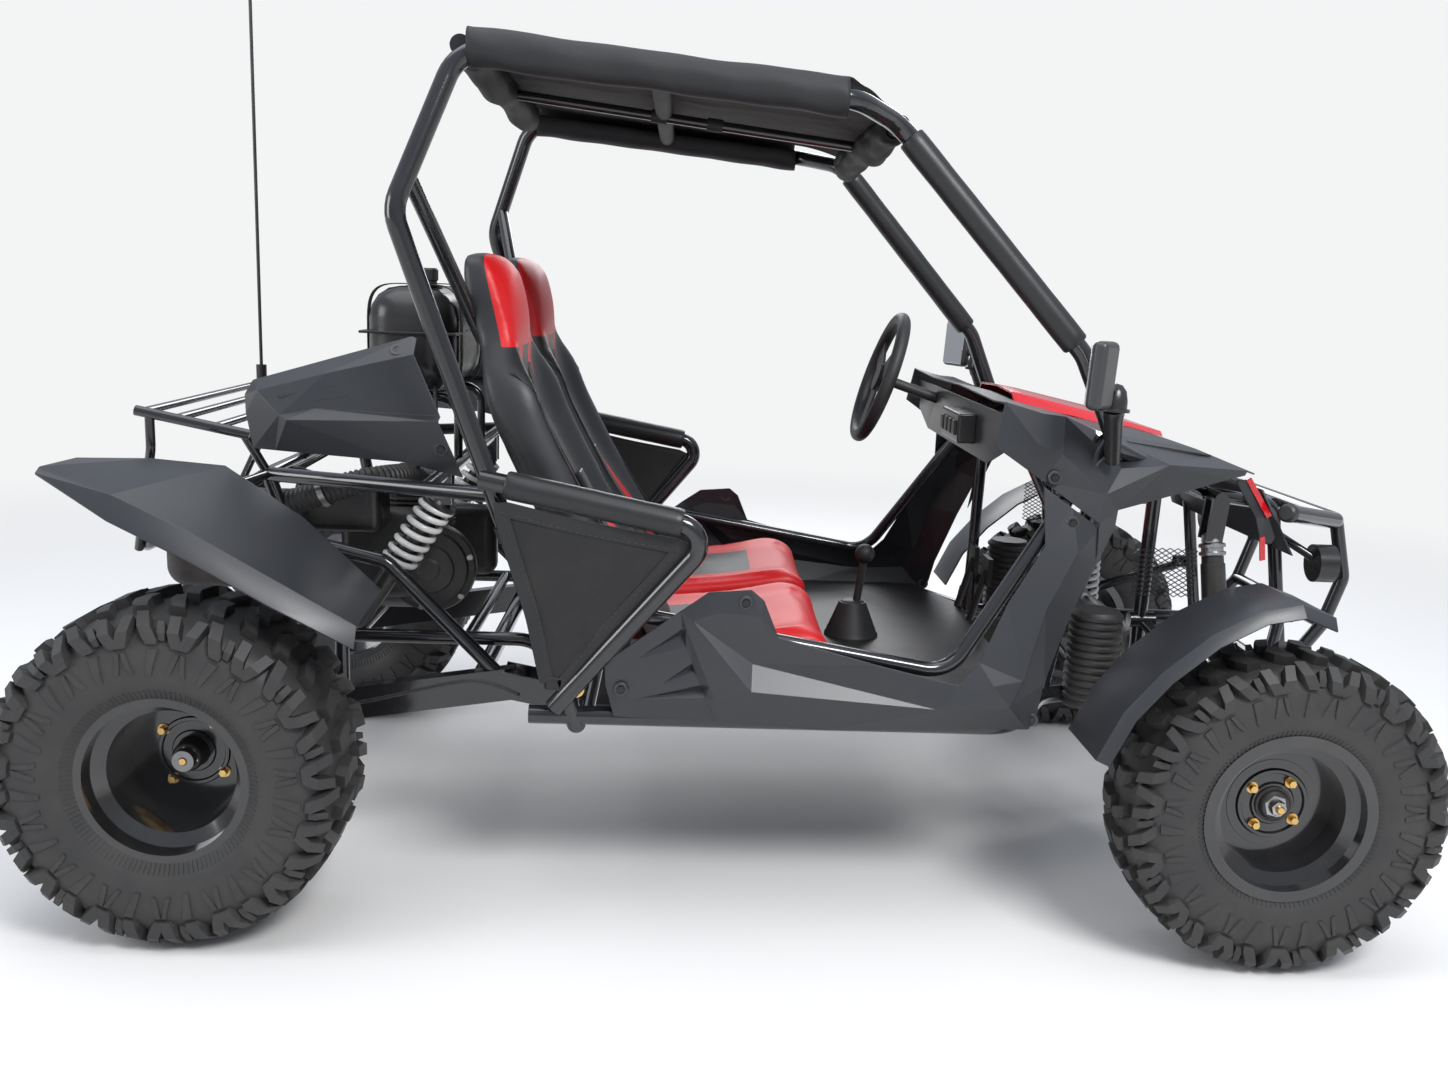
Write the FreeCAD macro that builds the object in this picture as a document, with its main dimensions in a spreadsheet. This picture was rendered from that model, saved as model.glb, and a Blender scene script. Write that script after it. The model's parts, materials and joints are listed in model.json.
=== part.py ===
import FreeCAD, Part
import math
import os
import Sketcher
from FreeCAD import Placement, Rotation, Vector

# Two seat off-road buggy, in millimetres. +X is forward, +Y is the driver's left and +Z is up.
# Every piece is modelled from the rear axle line on the ground, and its Placement then moves it
# forward or back so that the whole buggy stands centred over the origin.

doc = FreeCAD.newDocument("buggy")
sheet = doc.addObject("Spreadsheet::Sheet", "sizes")

# Driving dimensions. A side place is measured on the left and mirrored to the right.
SIZES = {
    # stance and wheels
    "rear_axle_x": -896,
    "wheelbase": 1773,
    "rear_track_half": 568,
    "wheel_offset": 114,
    "rear_tyre_dia": 559,
    "rear_tyre_width": 254,
    "front_tyre_dia": 534,
    "front_tyre_width": 178,
    "bead_dia": 254,
    "rim_lip_height": 13,
    "rim_wall": 5,
    "rear_rim_width": 196,
    "front_rim_width": 140,
    "rim_well_depth": 20,
    "rear_disc_inset": 46,
    "front_disc_inset": 4,
    "bead_clearance": 0.3,
    "tyre_clearance": 0.3,
    "lip_clearance": 1.2,
    "tread_pitches": 15,
    # tubes
    "tube_dia": 32,
    "thin_tube_dia": 25,
    "rod_dia": 16,
    "tube_bend": 70,
    "tight_bend": 36,
    "weld_gap": 0.3,
    # steering
    "kingpin_half": 500,
    "shock_low_inset": 85,
    "shock_low_back": 5,
    "shock_low_z": 262,
    "kingpin_rise": 92,
    "kingpin_dia": 16,
    "ball_joint_dia": 30,
    "steer_arm": 95,
    "rod_eye_gap": 0.4,
    "rack_half": 160,
    "rack_dia": 36,
    "rack_bar_dia": 18,
    "rack_clearance": 0.4,
    "knuckle_dia": 34,
    "stay_root_dia": 20,
    "stub_axle_dia": 26,
    "hub_dia": 96,
    "hub_width": 34,
    "running_clearance": 0.4,
    "joint_room": 8,
    "stud_dia": 14,
    "stud_length": 22,
    "arm_eye_height": 20,
    "steering_wheel_dia": 290,
    "grip_dia": 28,
    "spoke_width": 44,
    "spoke_thick": 5,
    "column_dia": 22,
    "column_length": 300,
    "column_sleeve_dia": 38,
    "column_sleeve_length": 110,
    # rear axle and drive
    "axle_dia": 35,
    "sprocket_dia": 210,
    "sprocket_thick": 7,
    "brake_disc_dia": 200,
    "brake_disc_thick": 5,
    "sprocket_y": 60,
    "brake_disc_y": -170,
    "carrier_dia": 84,
    "carrier_width": 50,
    "carrier_y": 345,
    "swing_beam_height": 58,
    "swing_beam_width": 30,
    # springs
    "rear_spring_dia": 66,
    "rear_damper_dia": 36,
    "front_spring_dia": 58,
    "front_sleeve_dia": 44,
    # sheets and mouldings
    "floor_thick": 3,
    "panel_thick": 4,
    "net_thick": 6,
    "pad_dia": 46,
    "pad_inner_gap": 0.3,
    "canopy_thick": 5,
    "canopy_roll_dia": 64,
    # side panels
    "panel_rear_x": 672,
    "panel_front_back": 353,
    "panel_half": 560,
    "panel_low_z": 336,
    "panel_high_z": 580,
    # cowl, nose and dash
    "cowl_reach": 77,
    "cowl_half": 470,
    "cowl_low_z": 735,
    "cowl_high_z": 892,
    "nose_low_z": 620,
    "nose_reach": 132,
    "nose_half": 300,
    "dash_back": 437,
    "dash_half": 415,
    "dash_top_z": 868,
    "dash_low_z": 770,
    # seats
    "seat_width": 410,
    "seat_half": 233,
    "seat_back_thick": 110,
    "cushion_front_x": 1075,
    "cushion_top_z": 515,
    # engine bay
    "tank_round": 30,
    "engine_round": 12,
    "air_box_round": 16,
    "muffler_round": 40,
    "cover_rear_x": 72,
    "cover_front_x": 420,
    "cover_inner": 400,
    "cover_outer": 455,
    "cover_low_z": 733,
    "cover_high_z": 960,
    "fender_rear_x": -180,
    "fender_front_x": 300,
    "fender_inner": 470,
    "fender_outer": 668,
    "fender_low_z": 500,
    "fender_high_z": 768,
    "rack_tube_dia": 18,
    "rack_foot_drop": 60,
    "rack_bar_dia_thin": 14,
    "whip_y": 300,
    "whip_length": 1200,
    "whip_dia": 7,
    "whip_socket_dia": 22,
    "whip_socket_height": 40,
    # joints of the suspension
    "eye_width": 26,
    "ear_thick": 6,
    "eye_dia": 30,
    "pivot_dia": 46,
    "pivot_width": 60,
    "barrel_length": 46,
    "barrel_dia": 28,
    "arm_tube_dia": 22,
    "tie_rod_dia": 14,
    "rack_bar_half": 230,
    "stub_reach": 22,
    "stay_back": 66,
    "stay_z": 592,
    "stay_rise": 12,
    "stay_inset": 14,
    "front_fender_near": 310,
    "front_fender_far": 352,
    "front_fender_in": 79,
    "front_fender_out": 86,
    "front_fender_bevel": 14,
    "front_fender_lip": 18,
    # hubs and controls
    "wheel_bore_dia": 60,
    "hub_flange": 12,
    "hub_nose": 14,
    "axle_half": 575,
    "hub_boss": 24,
    "boss_dia": 60,
    "joint_gap": 14,
    "lower_column_dia": 18,
    "mirror_depth": 36,
    "mirror_width": 70,
    "mirror_height": 110,
    "lamp_reach": 192,
    "lamp_y": 262,
    "lamp_z": 600,
    "lamp_depth": 36,
    "lamp_dia": 70,
    "pedal_back": 343,
    "pedal_gap": 130,
    "pedal_lean": 30,
    "pedal_height": 110,
    "pedal_width": 60,
    "shift_x": 1150,
    "shift_lean": 20,
    "shift_height": 170,
    "boot_dia": 110,
    "boot_height": 70,
    "knob_dia": 40,
    "overrun": 20,
}

# Places on the frame: forward of the rear axle, out from the centre plane, above the ground.
PLACES = {
    "hoop_top": (433, 486, 1412),
    "hoop_knee": (340, 550, 1160),
    "hoop_foot": (627, 500, 334),
    "roof_front": (1044, 503, 1355),
    "pillar_top": (1129, 400, 1331),
    "brace_low": (440, 300, 960),
    "rail_rear": (548, 500, 350),
    "sill_rear": (556, 520, 560),
    "side_bar_rear": (474, 556, 753),
    "side_bar_front": (852, 573, 683),
    "side_bar_low": (592, 530, 372),
    "rear_upper": (75, 330, 716),
    "engine_rail_rise": (520, 260, 412),
    "rear_lower": (150, 260, 412),
    "rear_loop": (-185, 250, 560),
    "engine_rail_front": (622, 260, 344),
    "swing_pivot": (506, 345, 357),
    "swing_peak": (279, 345, 570),
    "swing_back": (150, 345, 600),
    "shock_rear_top": (372, 290, 682),
    "shock_rear_low": (200, 290, 425),
    "rack_rear": (-139, 350, 821),
    "rack_front": (53, 350, 785),
    "seat_back_low": (640, 0, 430),
    "seat_back_top": (412, 0, 1112),
    "tank_low": (205, -190, 850),
    "tank_high": (372, 190, 1045),
    "engine_low": (70, -160, 425),
    "engine_high": (410, 190, 690),
    "air_box_low": (95, -255, 600),
    "air_box_high": (250, -175, 694),
    "muffler_low": (-165, -190, 470),
    "muffler_high": (20, 190, 612),
}

# Places on the front end, measured in the same way from the front axle.
FRONT_PLACES = {
    "pillar_low": (-322, 437, 974),
    "pillar_foot": (-268, 452, 850),
    "rail_bend": (-413, 500, 350),
    "rail_turn": (-313, 320, 350),
    "rail_front": (177, 215, 372),
    "sill_corner": (-528, 520, 445),
    "dash_end": (-273, 440, 830),
    "tower_top": (-33, 290, 728),
    "nose_top": (127, 215, 700),
    "shock_front_top": (-38, 345, 668),
    "arm_rear_pivot": (-136, 310, 495),
    "arm_front_pivot": (152, 242, 495),
    "low_arm_rear_pivot": (-148, 284, 327),
    "low_arm_front_pivot": (142, 222, 340),
    "wheel_hub": (-561, 220, 883),
    "pinion": (-95, 120, 420),
    "bumper_cap": (92, 350, 706),
    "bumper_corner": (259, 200, 670),
    "bumper_knee": (285, 200, 561),
    "bumper_low": (257, 200, 470),
    "glass_middle": (-326, 560, 946),
    "glass_stem": (-279, 507, 875),
}

for row, (alias, value) in enumerate(SIZES.items(), start=1):
    sheet.set(f"A{row}", alias)
    sheet.set(f"B{row}", str(value))
    sheet.setAlias(f"B{row}", alias)
for row, (name, spot) in enumerate((PLACES | FRONT_PLACES).items(), start=1):
    sheet.set(f"D{row}", name)
    for column, axis, value in zip("EFG", "xyz", spot):
        sheet.set(f"{column}{row}", str(value))
        sheet.setAlias(f"{column}{row}", f"{name}_{axis}")
doc.recompute()


flat_enough = 1e-6
bend_room_share = 0.45


class Reader:
    """Reads a size from the sheet by its alias."""

    def __getattr__(self, alias):
        return float(sheet.get(alias))


s = Reader()
SIDES = {"left": 1, "right": -1}
PIECES = []


def place(name, side=1):
    """A named place of the frame, on the left (1) or the right (-1)."""
    x, y, z = (float(sheet.get(f"{name}_{axis}")) for axis in "xyz")
    axle = s.wheelbase if name in FRONT_PLACES else 0
    return Vector(axle + x, side * y, z)


def between(low, high, share):
    """A value at a share of the way from one size to another."""
    return low + (high - low) * share


def along(first, last, share):
    """A point at a share of the way from one place to another."""
    return first + (last - first) * share


def box_point(low, high, share):
    """A point at shares of the box between two corners."""
    return Vector(*(between(a, b, part) for a, b, part in zip(low, high, share)))


def bend_at(before, corner, after, bend):
    """The tangent arc at a corner: its two ends, centre, turning axis and angle in degrees."""
    inward = (before - corner).normalize()
    outward = (after - corner).normalize()
    half_turn = (math.pi - inward.getAngle(outward)) / 2
    room = bend_room_share * min(before.distanceToPoint(corner), after.distanceToPoint(corner))
    reach = min(bend * math.tan(half_turn), room)
    radius = reach / math.tan(half_turn)
    towards = (inward + outward).normalize()
    centre = corner + towards * (radius / math.cos(half_turn))
    axis = outward.cross(inward).normalize()
    return corner + inward * reach, corner + outward * reach, centre, axis, math.degrees(2 * half_turn)


def tube(points, dia, bend=None):
    """A round bar of straight runs through the points, joined by tangent bends."""
    walls = []
    start = points[0]
    ring = Part.makeCircle(dia / 2, start, points[1] - start)
    caps = [Part.Face(Part.Wire(ring))]
    for before, corner, after in zip(points, points[1:], points[2:]):
        first, last, centre, axis, angle = bend_at(before, corner, after, bend or s.tube_bend)
        walls.append(ring.extrude(first - start))
        ring = Part.makeCircle(dia / 2, first, first - start)
        walls.append(ring.revolve(centre, axis, angle))
        ring = Part.makeCircle(dia / 2, last, after - last)
        start = last
    walls.append(ring.extrude(points[-1] - start))
    caps.append(Part.Face(Part.Wire(Part.makeCircle(dia / 2, points[-1], points[-1] - start))))
    shell = Part.makeShell(walls + caps)
    shell.sewShape()
    solid = Part.makeSolid(shell)
    if solid.Volume < 0:
        solid.reverse()
    return solid


def bar(first, last, dia):
    """A straight round bar between two points."""
    axis = last - first
    return Part.makeCylinder(dia / 2, axis.Length, first, axis)


def block(low, high):
    """A box between two corners."""
    spread = high - low
    return Part.makeBox(spread.x, spread.y, spread.z, low)


def fused(shapes):
    """One welded solid."""
    shape = shapes[0].multiFuse(shapes[1:]) if len(shapes) > 1 else shapes[0]
    return shape.removeSplitter()


def without(shape, others):
    """A shape cut back where other pieces stand in it."""
    for other in others:
        shape = shape.cut(other)
    return shape


def mirrored(shape):
    """The same shape on the other side of the centre plane."""
    return shape.mirror(Vector(0, 0, 0), Vector(0, 1, 0))


def pair(shape):
    """A piece and its mirror image, as separate solids."""
    return Part.makeCompound([shape, mirrored(shape)])


def section(points, thick, ahead):
    """A closed wall section: a line of points and the same line a wall further in."""
    normals = []
    for first, last in zip(points, points[1:]):
        normals.append(ahead.cross(last - first).normalize())
    inner = []
    for index, point in enumerate(points):
        before = normals[max(index - 1, 0)]
        after = normals[min(index, len(normals) - 1)]
        middle = (before + after).normalize()
        inner.append(point + middle * (thick / middle.dot(after)))
    return Part.makePolygon(points + inner[::-1] + [points[0]])


def patch(corners):
    """The flat face or faces that close a loop of three or four corners."""
    if len(corners) == 4:
        normal = (corners[2] - corners[0]).cross(corners[3] - corners[1]).normalize()
        if abs((corners[1] - corners[0]).dot(normal)) > flat_enough:
            return patch(corners[:3]) + patch([corners[0], corners[2], corners[3]])
    return [Part.Face(Part.makePolygon(corners + [corners[0]]))]


def wall_grid(rows, thick):
    """A moulded wall over a grid of points, folded at each row and column."""
    normals = []
    for i, row in enumerate(rows):
        line = []
        for j in range(len(row)):
            up = rows[min(i + 1, len(rows) - 1)][j] - rows[max(i - 1, 0)][j]
            over = row[min(j + 1, len(row) - 1)] - row[max(j - 1, 0)]
            line.append(up.cross(over).normalize() * thick)
        normals.append(line)
    inner = [[point + step for point, step in zip(*pair_of_rows)] for pair_of_rows in zip(rows, normals)]
    faces = []
    last_row = len(rows) - 1
    last_column = len(rows[0]) - 1
    for i in range(last_row):
        for j in range(last_column):
            for skin in (rows, inner):
                faces += patch([skin[i][j], skin[i + 1][j], skin[i + 1][j + 1], skin[i][j + 1]])
        for j in (0, last_column):
            faces += patch([rows[i][j], rows[i + 1][j], inner[i + 1][j], inner[i][j]])
    for j in range(last_column):
        for i in (0, last_row):
            faces += patch([rows[i][j], rows[i][j + 1], inner[i][j + 1], inner[i][j]])
    shell = Part.makeShell(faces)
    shell.sewShape()
    solid = Part.makeSolid(shell)
    if solid.Volume < 0:
        solid.reverse()
    return solid


def plate(points, thick):
    """A flat sheet with a closed outline, given thickness as a vector."""
    face = Part.Face(Part.makePolygon(points + [points[0]]))
    return face.extrude(thick)


def keep(name, shape):
    """Stores a shape that no feature tree fits as a named piece, and sets it on its axle line."""
    feature = doc.addObject("Part::Feature", name)
    feature.Label = name
    feature.Shape = shape
    feature.Placement = Placement(Vector(s.rear_axle_x, 0, 0), Rotation())
    PIECES.append(feature)
    return feature


def new_body(name):
    """A body that stands on the axle line."""
    body = doc.addObject("PartDesign::Body", name)
    body.Label = name
    body.AllowCompound = True
    body.setExpression("Placement.Base.x", "sizes.rear_axle_x")
    PIECES.append(body)
    return body


def outline(body, role, name, points, offset=None):
    """A closed sketch on an origin plane, each corner held at two expressions."""
    sketch = body.newObject("Sketcher::SketchObject", name)
    base = [item for item in body.Origin.OriginFeatures if item.Role == role][0]
    sketch.AttachmentSupport = (base, [""])
    sketch.MapMode = "FlatFace"
    if offset:
        sketch.setExpression("AttachmentOffset.Base.z", offset)
    values = [Vector(*(float(sketch.evalExpression(text)) for text in point), 0) for point in points]
    count = len(values)
    for index, value in enumerate(values):
        sketch.addGeometry(Part.LineSegment(value, values[(index + 1) % count]), False)
    for index in range(count):
        sketch.addConstraint(Sketcher.Constraint("Coincident", index, 2, (index + 1) % count, 1))
    for index, point in enumerate(points):
        for kind, text, value in zip(("DistanceX", "DistanceY"), point, values[index]):
            number = sketch.addConstraint(Sketcher.Constraint(kind, -1, 1, index, 1, value))
            sketch.setExpression(f"Constraints[{number}]", text)
    return sketch


def revolve(body, sketch, name, axis="V_Axis"):
    """A turned form about one of its sketch's axes."""
    turned = body.newObject("PartDesign::Revolution", name)
    turned.Profile = sketch
    turned.ReferenceAxis = (sketch, [axis])
    turned.Angle = 360
    return turned


def pad(body, sketch, name, length, symmetric=False, reverse=False):
    """A sketch given a length bound to the sheet."""
    feature = body.newObject("PartDesign::Pad", name)
    feature.Profile = sketch
    feature.setExpression("Length", length)
    feature.SideType = "Symmetric" if symmetric else "One side"
    feature.Reversed = reverse
    return feature


def ears(eye, carrier, thick, apart, height):
    """Two plates from an eye to the tube that carries it, one at each end of the eye."""
    carrier = Vector(carrier.x, eye.y, carrier.z)
    run = (carrier - eye).normalize()
    rise = run.cross(Vector(0, 1, 0)).normalize() * (height / 2)
    plates = []
    for way in (1, -1):
        near = eye + Vector(0, way * (apart / 2 + s.weld_gap) - (thick if way < 0 else 0), 0)
        far = Vector(carrier.x, near.y, carrier.z)
        back = near - run * (height / 2)
        plates.append(plate([back - rise, back + rise, far + rise, far - rise], Vector(0, thick, 0)))
    return plates


# Lower frame: two bottom rails that run in towards the nose, their cross tubes,
# the door sill tubes and the side guard bars, all welded together.
def lower_frame_half(side):
    rail = [place(name, side) for name in ("rail_rear", "rail_bend", "rail_turn", "rail_front")]
    sill = [place(name, side) for name in ("sill_rear", "sill_corner", "dash_end")]
    guard = [place(name, side) for name in ("side_bar_rear", "side_bar_front", "side_bar_low")]
    return [
        tube(rail, s.tube_dia),
        tube(sill, s.thin_tube_dia),
        tube(guard, s.tube_dia, s.tight_bend),
    ]


def cross_tube(left, dia):
    """A straight tube from a place on the left to the same place on the right."""
    return bar(left, Vector(left.x, -left.y, left.z), dia)


rail_cross_shares = (0.12, 0.52, 0.94)
rail_rear = place("rail_rear")
rail_bend = place("rail_bend")
lower_parts = lower_frame_half(1) + lower_frame_half(-1)
for share in rail_cross_shares:
    lower_parts.append(cross_tube(along(rail_rear, rail_bend, share), s.thin_tube_dia))
lower_parts.append(cross_tube(place("rail_front"), s.thin_tube_dia))
lower_parts.append(cross_tube(place("dash_end"), s.tube_dia))

# Roll cage: the main hoop behind the seats, the roof tubes that turn in and run down as
# windscreen pillars, cross tubes over the cabin and the harness brace behind the seats.
main_hoops = []
for side in SIDES.values():
    path = [place(name, side) for name in ("hoop_foot", "hoop_knee", "hoop_top", "roof_front",
                                            "pillar_top", "pillar_low", "pillar_foot")]
    main_hoops.append(tube(path, s.tube_dia))
hoop_brace_share = 0.22
hoop_rail_share = 0.47


def hoop_brace(side):
    """Where the harness brace meets the hoop above its knee."""
    return along(place("hoop_knee", side), place("hoop_top", side), hoop_brace_share)


def hoop_rail(side):
    """Where the rear upper rail meets the hoop."""
    return along(place("hoop_foot", side), place("hoop_knee", side), hoop_rail_share)


roof_cross_share = 0.5
roof_middle = along(place("hoop_top"), place("roof_front"), roof_cross_share)
cage_parts = main_hoops + [
    cross_tube(place("hoop_foot"), s.tube_dia),
    cross_tube(place("hoop_top"), s.tube_dia),
    cross_tube(roof_middle, s.thin_tube_dia),
    cross_tube(place("pillar_top"), s.tube_dia),
    cross_tube(place("brace_low"), s.thin_tube_dia),
]
for side in SIDES.values():
    cage_parts.append(bar(hoop_brace(side), place("brace_low", side), s.thin_tube_dia))
roll_cage = fused(cage_parts)
lower_frame = without(fused(lower_parts), [roll_cage])
keep("roll_cage", roll_cage)
keep("lower_frame", lower_frame)

# Front frame: the top rails from the dash to the nose and down to the bottom rails, and
# the uprights and cross tubes that carry the front suspension.
front_parts = []
upright_foot_share = 0.37
upright_head_share = 0.5
for side in SIDES.values():
    nose = [place("dash_end", side), place("tower_top", side), place("nose_top", side),
            place("rail_front", side)]
    foot = along(place("rail_turn", side), place("rail_front", side), upright_foot_share)
    head = along(place("dash_end", side), place("tower_top", side), upright_head_share)
    front_parts.append(tube(nose, s.thin_tube_dia, s.tight_bend))
    front_parts.append(bar(foot, head, s.thin_tube_dia))
    front_parts.append(bar(place("rail_turn", side), place("dash_end", side), s.thin_tube_dia))
shock_carrier = place("tower_top")
shock_carrier.y = s.shock_front_top_y + s.eye_width / 2 + s.ear_thick + s.weld_gap
front_parts.append(cross_tube(shock_carrier, s.thin_tube_dia))
front_parts.append(cross_tube(place("nose_top"), s.thin_tube_dia))
lamp_arm_share = 0.16
lamp_centre = Vector(s.wheelbase + s.lamp_reach, s.lamp_y, s.lamp_z)
lamp = bar(lamp_centre, lamp_centre + Vector(s.lamp_depth, 0, 0), s.lamp_dia)
for side in SIDES.values():
    shock_top = place("shock_front_top", side)
    front_parts += ears(shock_top, place("tower_top"), s.ear_thick, s.eye_width, s.eye_dia)
    arm_root = along(place("nose_top", side), place("rail_front", side), lamp_arm_share)
    arm_end = Vector(s.wheelbase + s.lamp_reach + s.lamp_depth / 2, side * s.lamp_y, s.lamp_z)
    front_parts.append(bar(arm_root, arm_end, s.rod_dia))
front_frame = without(fused(front_parts), [roll_cage, lower_frame, lamp, mirrored(lamp)])
keep("front_frame", front_frame)

# Rear fenders: long blades over the rear tyres, each with a creased outer band.
FENDER_LOW = Vector(s.fender_rear_x, s.fender_inner, s.fender_low_z)
FENDER_HIGH = Vector(s.fender_front_x, s.fender_outer, s.fender_high_z)
fender_shares = (
    ((0.00, 0.10, 0.96), (0.00, 0.72, 0.97), (0.00, 0.80, 0.94)),
    ((0.24, 0.00, 0.96), (0.24, 0.86, 0.84), (0.24, 0.96, 0.70)),
    ((0.48, 0.00, 0.93), (0.48, 0.88, 0.64), (0.48, 1.00, 0.50)),
    ((0.74, 0.00, 0.62), (0.74, 0.88, 0.38), (0.74, 1.00, 0.24)),
    ((1.00, 0.00, 0.18), (1.00, 0.88, 0.12), (1.00, 0.98, 0.00)),
)
fender_stations = [[box_point(FENDER_LOW, FENDER_HIGH, share) for share in row][::-1]
                   for row in fender_shares]
rear_fender = wall_grid(fender_stations, s.panel_thick)
keep("rear_fenders", pair(rear_fender))
fender_middle_share = (0.48, 0.30, 0.831)
fender_tail_share = (0.24, 0.20, 0.932)
loop_stay_share = 0.5


def fender_stay(root, share):
    """A straight stay from the frame to the underside of a fender on the left."""
    seat_point = box_point(FENDER_LOW, FENDER_HIGH, share)
    stay = bar(root, seat_point - Vector(0, 0, (s.rod_dia + s.panel_thick / 2) / 2), s.rod_dia)
    return max(stay.cut(rear_fender).Solids, key=lambda part: part.Volume)


fender_stays = [
    fender_stay(place("rear_upper"), fender_middle_share),
    fender_stay(along(place("rear_upper"), place("rear_loop"), loop_stay_share), fender_tail_share),
]

# Rear frame: upper and lower rails behind the hoop, the uprights between them and the
# bent loop round the back of the engine.
rear_parts = fender_stays + [mirrored(stay) for stay in fender_stays]
for side in SIDES.values():
    upper = [hoop_rail(side), place("rear_upper", side)]
    lower = [place(name, side)
             for name in ("engine_rail_front", "engine_rail_rise", "rear_lower", "rear_upper")]
    loop = [place("rear_upper", side), place("rear_loop", side), Vector(s.rear_loop_x, 0, s.rear_loop_z)]
    rear_parts.append(tube(upper, s.thin_tube_dia))
    rear_parts.append(tube(lower, s.thin_tube_dia))
    rear_parts.append(tube(loop, s.thin_tube_dia))
rear_parts.append(cross_tube(place("rear_upper"), s.thin_tube_dia))
upper_run = place("rear_upper"), hoop_rail(1)
shock_cross_share = (s.shock_rear_top_x - s.rear_upper_x) / (upper_run[1].x - s.rear_upper_x)
shock_cross = along(upper_run[0], upper_run[1], shock_cross_share)
rear_parts.append(cross_tube(shock_cross, s.thin_tube_dia))
engine_cross_shares = (0.3, 0.85)
for share in engine_cross_shares:
    engine_cross = along(place("engine_rail_rise"), place("rear_lower"), share)
    rear_parts.append(cross_tube(engine_cross, s.arm_tube_dia))
cradle_z = s.tank_low_z - s.rod_dia / 2 - s.weld_gap
cradle_share = 0.75
for side in SIDES.values():
    cradle_y = side * s.tank_high_y * cradle_share
    rear_parts.append(tube([
        Vector(shock_cross.x, cradle_y, shock_cross.z),
        Vector(s.tank_high_x, cradle_y, cradle_z),
        Vector(s.tank_low_x, cradle_y, cradle_z),
        Vector(s.rear_upper_x, cradle_y, s.rear_upper_z),
    ], s.rod_dia, s.tight_bend))


for side in SIDES.values():
    rear_parts += ears(place("swing_pivot", side), place("hoop_foot", side),
                       s.ear_thick, s.pivot_width, s.pivot_dia)
    rear_parts += ears(place("shock_rear_top", side), shock_cross, s.ear_thick, s.eye_width, s.eye_dia)
rear_frame = without(fused(rear_parts), [roll_cage, lower_frame])
keep("rear_frame", rear_frame)

# Foam sleeves on the pillars and the side guard bars, over the tubes.
pillar_pad_shares = (0.1, 0.9)
guard_pad_shares = (0.12, 0.84)


def sleeve(first, last, shares, inner, outer):
    """A hollow foam roll round a straight run of tube."""
    low = along(first, last, shares[0])
    high = along(first, last, shares[1])
    return bar(low, high, outer).cut(bar(first, last, inner))


pad_bore = s.tube_dia + 2 * s.pad_inner_gap
keep("bar_pads", Part.makeCompound([
    sleeve(place(first, side), place(last, side), shares, pad_bore, s.pad_dia)
    for side in SIDES.values()
    for first, last, shares in (
        ("pillar_top", "pillar_low", pillar_pad_shares),
        ("side_bar_rear", "side_bar_front", guard_pad_shares),
    )
]))

# Side nets: a flat panel in the triangle between the hoop and each guard bar.
net_corners = [place("side_bar_rear"), place("side_bar_front"), place("side_bar_low")]
net_normal = (net_corners[1] - net_corners[0]).cross(net_corners[2] - net_corners[0]).normalize()
net_half = net_normal * (s.net_thick / 2)
net_blank = plate([corner - net_half for corner in net_corners], net_half * 2)
clear_tube = s.tube_dia + 2 * s.weld_gap
net_clears = [
    tube(net_corners, clear_tube, s.tight_bend),
    bar(net_corners[0], net_corners[1], s.pad_dia + 2 * s.weld_gap),
    tube([place(name) for name in ("hoop_foot", "hoop_knee", "hoop_top")], clear_tube),
]
side_net = max(net_blank.cut(net_clears).Solids, key=lambda part: part.Volume)
keep("side_nets", pair(side_net))

# Roof canopy: cloth laced over the roof tubes, rolled round each side tube and the front one.
canopy_roll_shares = (0.03, 0.93)


def canopy():
    """One closed cloth form that wraps both side tubes and spans between them."""
    rolls = []
    hollows = []
    for side in SIDES.values():
        rear, front = (along(place("hoop_top", side), place("roof_front", side), share)
                       for share in canopy_roll_shares)
        rolls.append(bar(rear, front, s.canopy_roll_dia))
        hollows.append(bar(place("hoop_top", side), place("roof_front", side), pad_bore))
    lift = Vector(0, 0, s.tube_dia / 2 + s.pad_inner_gap)
    rear_share, front_share = canopy_roll_shares
    corners = [along(place("hoop_top", side), place("roof_front", side), share) + lift
               for side, share in ((1, rear_share), (1, front_share), (-1, front_share), (-1, rear_share))]
    sheet_top = plate(corners, Vector(0, 0, s.canopy_thick))
    return without(fused(rolls + [sheet_top]), hollows + [roll_cage])


keep("roof_canopy", canopy())

# Floor pan: one sheet on the bottom rails, tapering with them towards the pedals.
floor = new_body("floor_pan")
floor_top = "sizes.rail_bend_z + sizes.tube_dia / 2 + sizes.weld_gap"
floor_points = [
    ("sizes.hoop_foot_x + sizes.tube_dia", "sizes.rail_bend_y"),
    ("sizes.wheelbase + sizes.rail_bend_x", "sizes.rail_bend_y"),
    ("sizes.wheelbase + sizes.rail_turn_x - sizes.tube_dia", "sizes.rail_turn_y"),
    ("sizes.wheelbase + sizes.rail_turn_x - sizes.tube_dia", "-sizes.rail_turn_y"),
    ("sizes.wheelbase + sizes.rail_bend_x", "-sizes.rail_bend_y"),
    ("sizes.hoop_foot_x + sizes.tube_dia", "-sizes.rail_bend_y"),
]
floor_sketch = outline(floor, "XY_Plane", "floor_outline", floor_points, floor_top)
pad(floor, floor_sketch, "floor_sheet", "sizes.floor_thick")


floor_face = s.rail_bend_z + s.tube_dia / 2 + s.floor_thick + 2 * s.weld_gap


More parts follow.
